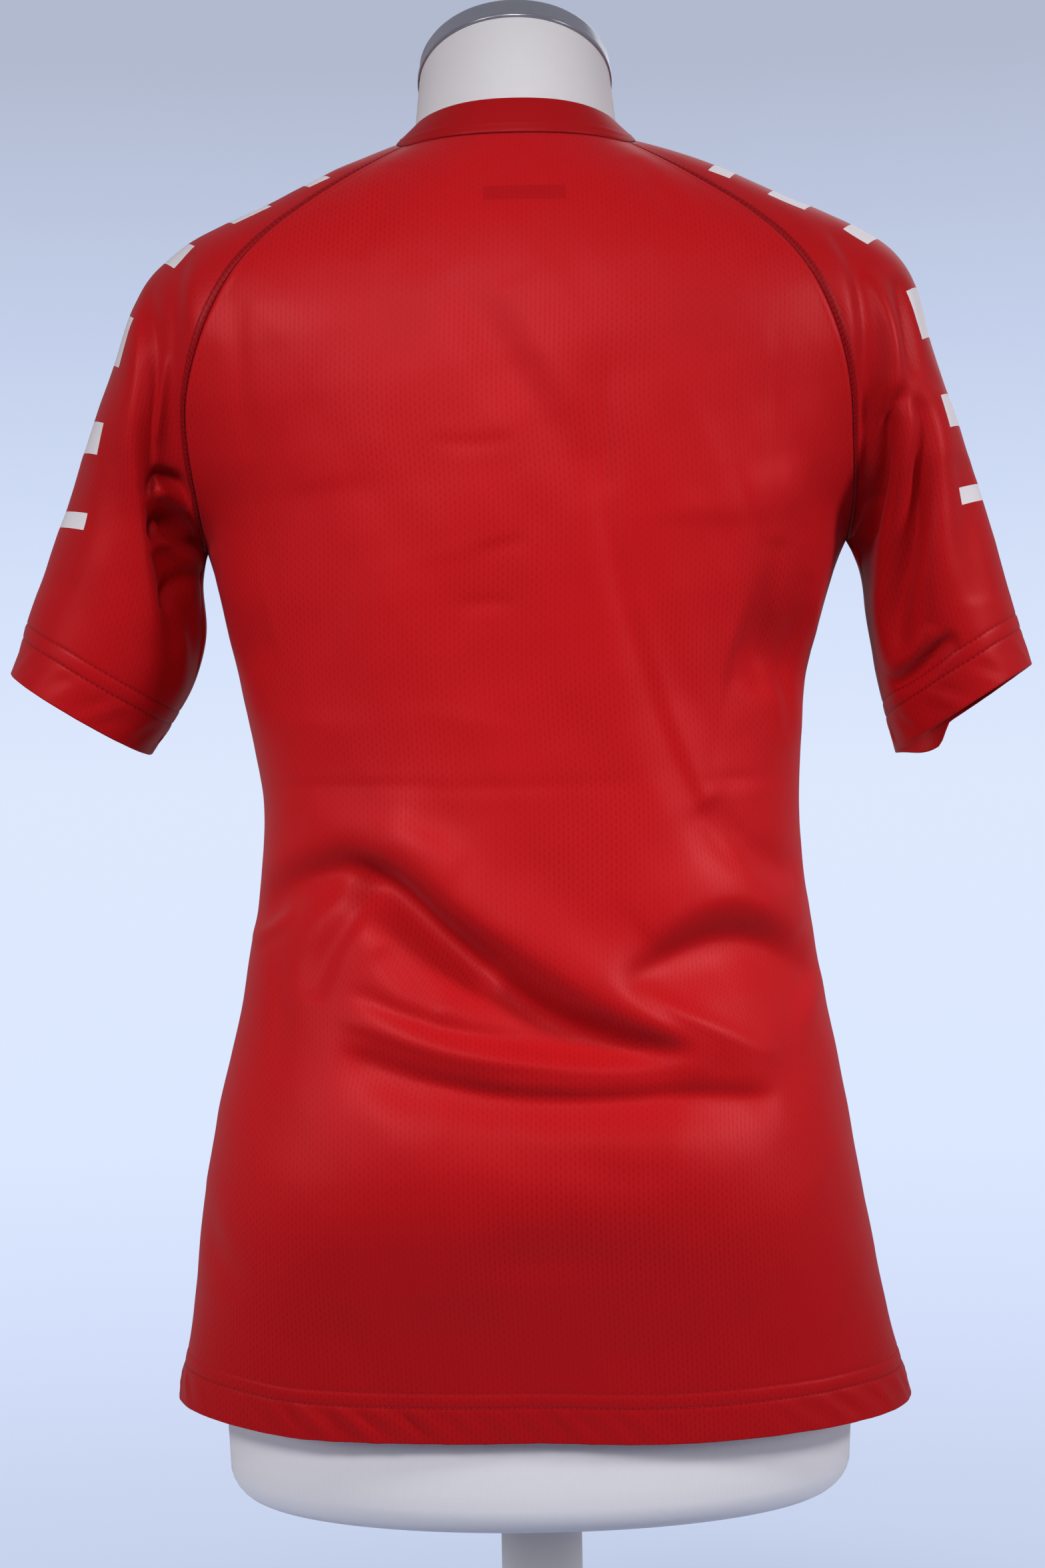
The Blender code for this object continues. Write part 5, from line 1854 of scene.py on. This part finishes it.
@dataclass
class Jersey:
    """The sewn jersey: four panels, a neckband and their stitches."""

    drape_clear: float = 1.8
    finish_clear: float = 1.2
    near_row: float = 0.55
    seam_pitch: float = 2.9
    rung_slant: float = 1.5
    cuff_pitch: float = 3.1
    cuff_lift: float = -0.08
    cuff_drop: float = 10.0
    cuff_reach: float = 45.0
    bulge_start: tuple[float, float] = (204.0, 30.0)
    bulge_end: tuple[float, float] = (235.0, 7.0)
    bulge_front: tuple[float, float] = (8.0, 22.0)

    def __post_init__(self) -> None:
        """Names the finishes."""
        back = KnitFinish("jersey_knit", tag_centre=(3 * MM, 42 * MM), seam_band=0.5 * MM,
                          hem_rows=Relief.BODY_LINES[1:])
        front = KnitFinish("jersey_front_knit", seam_band=0.5 * MM, hem_rows=Relief.BODY_LINES[1:])
        # The sleeves are the same knit as the body; their darker colour is painted shade, for the less light
        # that falls on them.
        sleeve = KnitFinish("sleeve_knit", colour=(0.43, 0.0065, 0.0095), bars=SLEEVE_BARS,
                            seam_band=Relief.SEAM_BAND * MM, hem_rows=Relief.SLEEVE_LINES, row_shade=0.75)
        self.finishes = dict(zip(PANELS, (back, front, sleeve, sleeve)))
        self.band_knit = KnitFinish("neckband_knit", colour=(0.38, 0.0065, 0.009), drop_pitch=1.2 * MM,
                                    drop_rise=2.0 * MM, bump=0.25)

    def shape(self, form: "DressForm") -> Shell:
        """Lofts, drapes and creases the surface."""
        coarse = CoarseShell()
        coarse.rest_on(form, self.drape_clear)
        shell = Shell(coarse)
        Folds(CREASES).press(shell)
        self.drop_cuff(shell)
        clear_of(form, shell, self.drape_clear)
        shell.measure()
        Relief().apply(shell)
        clear_of(form, shell, self.finish_clear)
        return shell

    def drop_cuff(self, shell: Shell) -> None:
        """Lets the front of the right cuff hang a little lower, so that it shows under the back."""
        points = shell.points["sleeve_right"]
        x, y = points[..., 0], points[..., 1]
        bulge = step_up(x, *self.bulge_start) * (1 - step_up(x, *self.bulge_end))
        low = 1 - ease(shell.to_hem["sleeve_right"] / self.cuff_reach)
        points[..., 2] -= self.cuff_drop * bulge * step_up(y, *self.bulge_front) * low

    def build(self, form: "DressForm") -> None:
        """Builds all pieces of the jersey."""
        shell = self.shape(form)
        out = shell.normals()
        materials = {finish: finish.material() for finish in dict.fromkeys(self.finishes.values())}
        for panel in PANEL_CUTS:
            panel.build(shell, out[panel.name], materials[self.finishes[panel.name]])
        self.stitch(shell, out)
        Neckband().build(self.band_knit.material())

    def stitch(self, shell: Shell, out: dict[str, Array]) -> None:
        """Sews the hems, the cuffs and the raglan seams."""
        thread = ThreadFinish().material()
        tool = Stitches()
        for name in Area.TORSO.value:
            curves = [hem_curve(shell, name, out[name], line) for line in Relief.BODY_LINES]
            runs = [tool.along_curve(*curve) for curve in curves]
            tool.build(name.split("_")[0] + "_hem_stitches", runs, Slot.JERSEY, thread)
        for name in Area.LEFT.value + Area.RIGHT.value:
            curves = [hem_curve(shell, name, out[name], line) for line in Relief.SLEEVE_LINES]
            runs = [tool.along_curve(*curve, self.cuff_pitch, self.cuff_lift) for curve in curves]
            rows = slice(1, shell.rows_above - 2)
            for start in (True, False):
                near, low = column_at(shell, name, self.near_row, start, rows)
                far, _ = column_at(shell, name, Relief.SEAM_BAND, start, rows)
                normals = out[name][rows][np.arange(len(low)), low]
                runs += [tool.along_curve(curve, normals, self.seam_pitch) for curve in (near, far)]
                runs.append(tool.rungs(near, far, normals, self.seam_pitch, self.rung_slant))
            tool.build(name + "_stitches", runs, Slot.SLEEVE, thread)


@dataclass
class Neckband:
    """Doubled band of knit round the neck."""

    gap: float = 0.6
    bulge: float = 0.4
    wall: float = 1.7
    ridge_at: float = 5.0
    ridge: float = 0.22
    ridge_width: float = 0.9
    seam_sink: float = 0.5
    seam_width: float = 0.7
    columns: int = 420
    rows: int = 26
    fold_rows: int = 9
    undercut: float = 0.035
    stitch_drop: float = 1.3
    stitch_lift: float = 0.1

    def swell(self, share: float) -> float:
        """How far the middle of the band stands out at a share of its height."""
        return self.bulge * 4 * share * (1 - share)

    def section(self, low: Array, rise: Array, out: Array, tall: float) -> tuple[list[Array], list[float]]:
        """Loops of the band: up its outer face, over the fold and down its inner face.

        Args:
            low: Points along its lower edge.
            rise: From each of them to the upper edge.
            out: Outward normals.
            tall: Its mean height, mm.

        Returns:
            The loops, and how far each lies along the cloth from the first.
        """
        fold = self.wall / 2
        crest = 1 - fold / tall
        loops, run_up = [], []
        for share in np.linspace(0, crest, self.rows):
            place = share * tall
            ridge = self.ridge * bell(place, self.ridge_at, self.ridge_width)
            sink = self.seam_sink * bell(place, 0, self.seam_width)
            loops.append(low + rise * share + out * (self.swell(share) + ridge - sink))
            run_up.append(place)
        crown, up = low + rise * crest, unit(rise)
        for turn in np.linspace(0, math.pi, self.fold_rows)[1:-1]:
            aside = self.swell(crest) - fold + fold * math.cos(turn)
            loops.append(crown + out * aside + up * fold * math.sin(turn))
            run_up.append(tall + fold * turn)
        for share in np.linspace(crest, self.undercut, self.rows // 2):
            loops.append(low + rise * share + out * (self.swell(share) - self.wall))
            run_up.append(2 * tall - share * tall)
        return loops, run_up

    def build(self, material: bpy.types.Material) -> bpy.types.Object:
        """Builds the band as a closed tube and its row of stitches."""
        angles = circle_angles(self.columns)
        low, top = loop_points(NECKLINE, angles), loop_points(BAND_TOP, angles)
        low = low + unit(top - low) * self.gap
        rise = top - low
        out = unit(np.cross(np.roll(low, -1, axis=0) - np.roll(low, 1, axis=0), rise))
        tall = float(np.linalg.norm(rise, axis=1).mean())
        loops, run_up = self.section(low, rise, out, tall)
        quads = grid_quads(len(loops), self.columns, around=True)
        closing = np.arange(self.columns)
        after = (closing + 1) % self.columns
        last = (len(loops) - 1) * self.columns
        quads = np.concatenate([quads, np.stack([last + closing, closing, after, last + after], axis=-1)])
        flat = along(np.concatenate([low, low[:1]]))
        corners = tube_corners(flat[:-1], run_up, flat[-1], quads)
        obj = mesh_object("neckband_knit", np.concatenate(loops), quads, corners)
        face_outwards(obj)
        finish_mesh(obj, material)
        place_in_frame(obj, "neckband")
        self.stitch(low, rise, out)
        return obj

    def stitch(self, low: Array, rise: Array, out: Array) -> None:
        """Sews the band's seam."""
        tool = Stitches(pitch=2.6, length=1.9, radius=0.15)
        curve = low - unit(rise) * (self.gap + self.stitch_drop) + out * self.stitch_lift
        closed, normals = (np.concatenate([row, row[:1]]) for row in (curve, out))
        thread = ThreadFinish("neck_thread").material()
        tool.build("neck_stitches", [tool.along_curve(closed, normals)], Slot.NECKBAND, thread)


# ---------------------------------------------------------------- dress form and stand


@dataclass
class DressForm:
    """Limbless dress form under the jersey, in a tight white cover."""

    bottom: float = 196.5
    corner: float = 20.0
    corner_steps: int = 8
    neck_top: float = 960.0
    neck_radius: float = 52.0
    neck_tilt: float = 22.0
    socket_radius: float = 22.3
    socket_depth: float = 60.0
    socket_lip: float = 0.8
    cover_radius: float = 140.0
    smooth_angle: float = 50.0
    columns: int = 128
    row_step: float = 6.0

    def __post_init__(self) -> None:
        """Lofts the form and its search tree."""
        self.loops = self.loft()
        points = np.array(self.loops).reshape(-1, 3)
        faces = grid_quads(len(self.loops), self.columns, around=True)[:, ::-1]
        self.tree = BVHTree.FromPolygons([Vector(p) for p in points], faces.tolist())

    def loop(self, level: FormLevel, inset: float = 0.0) -> Array:
        """Level section as a closed loop."""
        angles = circle_angles(self.columns)
        sine, cosine = np.sin(angles), np.cos(angles)
        exponent = 2 / level.fullness
        x = (level.half_width - inset) * power(sine, exponent)
        y = -power(cosine, exponent) * (np.where(cosine > 0, level.back, level.front) - inset)
        return np.stack([x, y, np.full_like(x, level.height)], axis=1)

    def loft(self) -> list[Array]:
        """Loops from the underside up to the slanted top of the neck."""
        columns = list(zip(*FORM_LEVELS))
        heights = columns[0]
        loops = []
        for turn in np.linspace(0, math.pi / 2, self.corner_steps + 1)[:-1]:
            inset, drop = self.corner * (1 - math.sin(turn)), self.corner * (1 - math.cos(turn))
            loops.append(self.loop(FORM_LEVELS[0]._replace(height=self.bottom + drop), inset))
        for height in np.arange(heights[0], heights[-1] + 0.1, self.row_step):
            values = [float(smooth(height, heights, column)) for column in columns[1:]]
            loops.append(self.loop(FormLevel(height, *values)))
        collar = loops[-1]
        top = self.loop(FormLevel(self.neck_top, self.neck_radius, self.neck_radius, self.neck_radius, 2.0))
        top[:, 2] -= top[:, 1] * math.tan(math.radians(self.neck_tilt))
        loops += [collar * (1 - share) + top * share for share in (0.2, 0.4, 0.6, 0.8, 1.0)]
        return loops

    def lift(self, points: Array, clear: float, reach: float = 25.0) -> Array:
        """Moves that bring points clear of the form.

        Args:
            points: Points to test, mm.
            clear: Smallest distance from the form, mm.
            reach: Depth past which a point is left, mm.

        Returns:
            A move for each point, zero where it is clear.
        """
        moves = np.zeros_like(points)
        for k, point in enumerate(points):
            near, normal, _, distance = self.tree.find_nearest(Vector(point))
            if distance > reach:
                continue
            lift = clear - (Vector(point) - near).dot(normal)
            if lift > 0:
                moves[k] = normal * lift
        return moves

    def socket(self) -> list[Array]:
        """Loops of the pole socket from its top down, then of the underside out towards the rim."""
        angles = circle_angles(self.columns)
        circle = np.stack([np.sin(angles), -np.cos(angles), np.zeros_like(angles)], axis=1)
        heights = (self.bottom + self.socket_depth, self.bottom + self.socket_lip)
        bore = [circle * self.socket_radius + (0, 0, height) for height in heights]
        mouth = circle * (self.socket_radius + self.socket_lip) + (0, 0, self.bottom)
        return bore + [mouth * (1 - share) + self.loops[0] * share for share in (0.0, 0.25, 0.5, 0.75)]

    def build(self) -> None:
        """Builds the form with its pole socket."""
        grid = np.array(self.socket() + self.loops)
        quads = grid_quads(len(grid), self.columns, around=True)[:, ::-1]
        girth = 2 * math.pi * self.cover_radius
        flat = np.linspace(0, 1, self.columns + 1)[:-1] * girth
        corners = tube_corners(flat, run(grid, 0).mean(axis=1), girth, quads)
        obj = mesh_object("dress_form", grid.reshape(-1, 3), quads, corners)
        face_outwards(obj, fill_rims=True)
        finish_mesh(obj, CoverFinish().material(), self.smooth_angle)
        place_in_frame(obj, "form_body")


@dataclass
class Stand:
    """Neck cap, pole, flange and base of the form."""

    cap_radius: float = 53.0
    cap_height: float = 13.0
    cap_seat: float = 960.3
    tilt: float = 22.0
    pole_radius: float = 22.0
    pole_top: float = 256.2
    base_radius: float = 150.0
    base_height: float = 12.0
    flange_radius: float = 42.0
    flange_height: float = 22.0
    gap: float = 0.3
    sides: int = 128
    pole_sides: int = 96
    base_sides: int = 160
    cap_bevel: float = 0.5
    pole_bevel: float = 0.8
    flange_bevel: float = 0.7
    base_bevel: float = 3.0
    cap_lip: tuple[float, float] = (1.0, 0.4)
    dome: Steps = ((0.6, 1.4), (1.2, 0.9), (2.4, 0.5), (12, 1.6), (14, 1.2), (14, 0.6))
    flange_top: Steps = ((3.0, 2.4), (1.6, 1.0))
    bore_gap: float = 0.4
    smooth_angle: float = 35.0

    def drum(self, name: str, radius: float, bottom: float, top: float, sides: int) -> bpy.types.Object:
        """Closed cylinder on the Z axis."""
        deselect()
        bpy.ops.mesh.primitive_cylinder_add(vertices=sides, radius=radius * MM, depth=(top - bottom) * MM,
                                            location=(0, 0, (top + bottom) / 2 * MM))
        obj = bpy.context.object
        obj.name = name
        bpy.ops.object.transform_apply(location=True, rotation=False, scale=True)
        return obj

    def shape_top(self, obj: bpy.types.Object, profile: Steps) -> None:
        """Shapes the top face: each step insets by the first number and lifts by the second, mm."""
        activate(obj)
        bpy.ops.object.mode_set(mode="EDIT")
        bpy.ops.mesh.select_mode(type="FACE")
        bpy.ops.mesh.select_all(action="DESELECT")
        bm = bmesh.from_edit_mesh(obj.data)
        for face in bm.faces:
            face.select = face.normal.z > 0.9
        bmesh.update_edit_mesh(obj.data)
        for inset, lift in profile:
            if inset:
                bpy.ops.mesh.inset(thickness=inset * MM, depth=lift * MM)
            else:
                bpy.ops.mesh.extrude_region_move(TRANSFORM_OT_translate={"value": (0, 0, lift * MM)})
        bpy.ops.object.mode_set(mode="OBJECT")

    def bevel(self, obj: bpy.types.Object, width: float, segments: int, degrees: float = 30.0) -> None:
        """Rounds the edges that turn by more than an angle; the width is in mm."""
        apply_modifier(obj, "BEVEL", width=width * MM, segments=segments, limit_method="ANGLE",
                       angle_limit=math.radians(degrees))

    def complete(self, obj: bpy.types.Object, node: str, finish: MetalFinish) -> None:
        """Dresses a finished piece."""
        finish_mesh(obj, finish.material(), self.smooth_angle)
        place_in_frame(obj, node)

    def build(self) -> None:
        """Builds the four pieces."""
        self.cap()
        foot = self.base_height + self.gap
        pole = self.drum("pole", self.pole_radius, foot, self.pole_top, self.pole_sides)
        self.bevel(pole, self.pole_bevel, 3)
        self.complete(pole, "stand_pole", ENAMEL)
        self.flange()
        plate = self.drum("round_base", self.base_radius, 0, self.base_height, self.base_sides)
        self.bevel(plate, self.base_bevel, 5)
        self.complete(plate, "base_plate", STEEL)

    def cap(self) -> None:
        """Slanted cap: a small lip below, a straight band and a shallow dome."""
        cap = self.drum("slanted_cap", self.cap_radius, 0, 3.0, self.sides)
        self.shape_top(cap, (self.cap_lip, (0, self.cap_height - 6.2), *self.dome))
        self.bevel(cap, self.cap_bevel, 3, 40)
        stretch = 1 / math.cos(math.radians(self.tilt))
        seat = Matrix.Translation((0, 0, (self.cap_seat + self.gap * 0.1) * MM))
        turn = Matrix.Rotation(math.radians(-self.tilt), 4, "X")
        cap.data.transform(seat @ turn @ Matrix.Diagonal((1, stretch, 1, 1)))
        cap.data.update()
        self.complete(cap, "neck_cap", CHROME)

    def flange(self) -> None:
        """Round collar that holds the pole on the base."""
        seat = self.base_height + self.gap
        collar = self.drum("pole_collar", self.flange_radius, seat, seat + 3, self.sides)
        hole = self.pole_radius + self.bore_gap
        slope = self.flange_radius - 2 - hole - 5
        self.shape_top(collar, ((2.0, 0.0), (slope, self.flange_height - 7), *self.flange_top))
        bore = self.drum("bore", hole, 0, 60, self.sides)
        apply_modifier(collar, "BOOLEAN", operation="DIFFERENCE", solver="EXACT", object=bore)
        bpy.data.objects.remove(bore, do_unlink=True)
        self.bevel(collar, self.flange_bevel, 3)
        self.complete(collar, "pole_flange", STEEL)


# ---------------------------------------------------------------- studio


SKY_STEPS = (
    (0.0, (0.46, 0.53, 0.72)),
    (0.107, (0.546, 0.624, 0.823)),
    (0.143, (0.591, 0.672, 0.871)),
    (0.178, (0.651, 0.730, 0.956)),
    (0.233, (0.716, 0.807, 1.0)),
    (0.333, (0.728, 0.810, 0.985)),
    (0.393, (0.66, 0.75, 0.95)),
    (0.46, (0.55, 0.63, 0.83)),
    (0.533, (0.445, 0.490, 0.625)),
    (1.0, (0.430, 0.475, 0.610)),
)


class Lamp(NamedTuple):
    """Soft spot lamp.

    It faces a height on the object's axis, m. Its place and radius are in m, the whole angle of its cone in
    degrees and its power in W.
    """

    name: str
    place: Colour
    faces: float
    radius: float
    spread: float
    power: float
    colour: Colour


LAMPS = (
    Lamp("key", (0.0, -1.9, 1.75), 0.76, 0.28, 27.0, 76, (1.0, 0.99, 0.97)),
    Lamp("neck_key", (0.0, -1.6, 1.55), 1.0, 0.2, 10.0, 22, (1.0, 0.99, 0.99)),
    Lamp("left_key", (-1.15, -1.6, 1.6), 0.50, 0.22, 28.0, 108, (1.0, 0.99, 0.97)),
    Lamp("right_key", (1.68, -1.05, 1.55), 0.50, 0.22, 28.0, 108, (1.0, 0.99, 0.97)),
    Lamp("left_low", (-1.5, -0.8, 0.75), 0.33, 0.25, 27.0, 26, (1.0, 0.98, 0.98)),
    Lamp("right_low", (1.5, -0.8, 0.75), 0.33, 0.25, 27.0, 26, (1.0, 0.98, 0.98)),
)


@dataclass
class Studio:
    """Pale floor, soft light and camera."""

    eye: tuple[float, float, float] = (-0.0029, -1.25, 0.58)
    lens: float = 52.607
    sensor: float = 36.0
    roll: float = 1.068
    clip: tuple[float, float] = (0.01, 100.0)
    floor_radius: float = 1.6
    floor_depth: float = 0.02
    floor_centre: float = -0.0105
    floor_near: Colour = (0.27, 0.30, 0.36)
    floor_speck: Colour = (0.33, 0.33, 0.33)
    floor_glow: Colour = (0.40, 0.455, 0.60)
    floor_fade: tuple[float, float] = (0.22, 0.62)
    sky_strength: float = 1.0
    sky_span: float = 1.5
    ambient: Colour = (0.86, 0.85, 0.95)
    ambient_range: tuple[float, float] = (0.06, 0.33)
    ambient_ends: tuple[float, float] = (-0.5, 1.0)
    fill_place: Colour = (0.4, 1.9, 1.7)
    fill_faces: float = 0.6
    fill_size: tuple[float, float] = (1.6, 1.2)
    fill_power: float = 6.0
    fill_colour: Colour = (0.97, 0.97, 1.0)

    def build(self) -> None:
        """Builds floor, sky, lights and camera."""
        self.camera()
        self.floor()
        self.sky()
        self.lights()
        bpy.context.scene.view_settings.view_transform = "Standard"

    def camera(self) -> None:
        """Level camera behind the wearer, turned a little about its own axis."""
        data = bpy.data.cameras.new("camera")
        data.lens, data.sensor_width, data.sensor_fit = self.lens, self.sensor, "AUTO"
        data.clip_start, data.clip_end = self.clip
        camera = bpy.data.objects.new("camera", data)
        camera.location = self.eye
        camera.rotation_euler = (Matrix.Rotation(math.radians(90), 4, "X") @ Matrix.Rotation(
            math.radians(-self.roll), 4, "Z")).to_euler()
        bpy.context.scene.collection.objects.link(camera)
        bpy.context.scene.camera = camera

    def floor(self) -> None:
        """Round pale floor that fades into the surround."""
        deselect()
        bpy.ops.mesh.primitive_cylinder_add(vertices=128, radius=self.floor_radius, depth=self.floor_depth,
                                            location=(0, 0, self.floor_centre))
        floor = bpy.context.object
        floor.name = "floor"
        bpy.ops.object.transform_apply(location=True, rotation=False, scale=True)
        nodes = Nodes("pale_floor")
        place = nodes.add("TexCoord").outputs["Object"]
        away = nodes.add("VectorMath", {"operation": "LENGTH"}, Vector=place).outputs["Value"]
        far = nodes.span(away, *self.floor_fade, 0.0, 1.0, eased=True)
        speck = nodes.math("MULTIPLY", nodes.noise(60.0, 3.0), 0.06)
        tone = nodes.mix(speck, rgba(self.floor_near), rgba(self.floor_speck))
        nodes.surface(Base_Color=tone, Roughness=0.9, Specular_IOR_Level=0.1,
                      Emission_Color=rgba(self.floor_glow), Emission_Strength=1.0)
        clear = nodes.add("BsdfTransparent")
        blend = nodes.add("MixShader", Fac=far)
        nodes.tree.links.new(nodes.shader.outputs[0], blend.inputs[1])
        nodes.tree.links.new(clear.outputs[0], blend.inputs[2])
        nodes.tree.links.new(blend.outputs[0], nodes.tree.nodes["Material Output"].inputs[0])
        floor.data.materials.append(nodes.material)

    def sky(self) -> None:
        """Pale blue surround, deeper overhead; what lights the object is dimmer than what is seen."""
        world = bpy.data.worlds.new("surround")
        world.use_nodes = True
        tree = world.node_tree
        back = tree.nodes["Background"]
        place = tree.nodes.new("ShaderNodeTexCoord")
        parts = tree.nodes.new("ShaderNodeSeparateXYZ")
        ramp = tree.nodes.new("ShaderNodeValToRGB")
        stretch = tree.nodes.new("ShaderNodeMath")
        stretch.operation = "MULTIPLY_ADD"
        stretch.inputs[1].default_value = 1 / self.sky_span
        stretch.inputs[2].default_value = 0.5 / self.sky_span
        tree.links.new(place.outputs["Generated"], parts.inputs[0])
        tree.links.new(parts.outputs[2], stretch.inputs[0])
        tree.links.new(stretch.outputs[0], ramp.inputs[0])
        tree.links.new(ramp.outputs[0], back.inputs[0])
        elements = ramp.color_ramp.elements
        for element, (position, colour) in zip(list(elements), (SKY_STEPS[0], SKY_STEPS[-1])):
            element.position, element.color = position, rgba(colour)
        for position, colour in SKY_STEPS[1:-1]:
            elements.new(position).color = rgba(colour)
        back.inputs[1].default_value = self.sky_strength
        dim = tree.nodes.new("ShaderNodeBackground")
        dim.inputs[0].default_value = rgba(self.ambient)
        side = tree.nodes.new("ShaderNodeMapRange")
        side.inputs["From Min"].default_value, side.inputs["From Max"].default_value = self.ambient_ends
        side.inputs["To Min"].default_value, side.inputs["To Max"].default_value = self.ambient_range
        tree.links.new(parts.outputs[1], side.inputs[0])
        tree.links.new(side.outputs[0], dim.inputs[1])
        path = tree.nodes.new("ShaderNodeLightPath")
        blend = tree.nodes.new("ShaderNodeMixShader")
        tree.links.new(path.outputs["Is Camera Ray"], blend.inputs[0])
        tree.links.new(dim.outputs[0], blend.inputs[1])
        tree.links.new(back.outputs[0], blend.inputs[2])
        tree.links.new(blend.outputs[0], tree.nodes["World Output"].inputs[0])
        bpy.context.scene.world = world

    def hang(self, data: bpy.types.Light, place: Colour, faces: float) -> bpy.types.Object:
        """Puts a light in its place, facing a height on the object's axis."""
        light = bpy.data.objects.new(data.name, data)
        light.location = place
        light.rotation_euler = (Vector((0, 0, faces)) - Vector(place)).to_track_quat("-Z", "Y").to_euler()
        bpy.context.scene.collection.objects.link(light)
        return light

    def lights(self) -> None:
        """Two spots above the camera, one from each side, a low pair and a weak panel behind."""
        for lamp in LAMPS:
            data = bpy.data.lights.new(lamp.name, "SPOT")
            data.shadow_soft_size, data.energy, data.color = lamp.radius, lamp.power, lamp.colour
            data.spot_size, data.spot_blend = math.radians(lamp.spread), 1.0
            self.hang(data, lamp.place, lamp.faces)
        panel = bpy.data.lights.new("back_fill", "AREA")
        panel.shape = "RECTANGLE"
        panel.size, panel.size_y = self.fill_size
        panel.energy, panel.color = self.fill_power, self.fill_colour
        self.hang(panel, self.fill_place, self.fill_faces).visible_camera = False


def main() -> None:
    """Builds the scene, piece by piece."""
    logging.basicConfig(level=logging.INFO, format="%(name)s %(message)s", force=True)
    Studio().build()
    form = DressForm()
    form.build()
    Stand().build()
    Jersey().build(form)


if __name__ == "__main__":
    main()
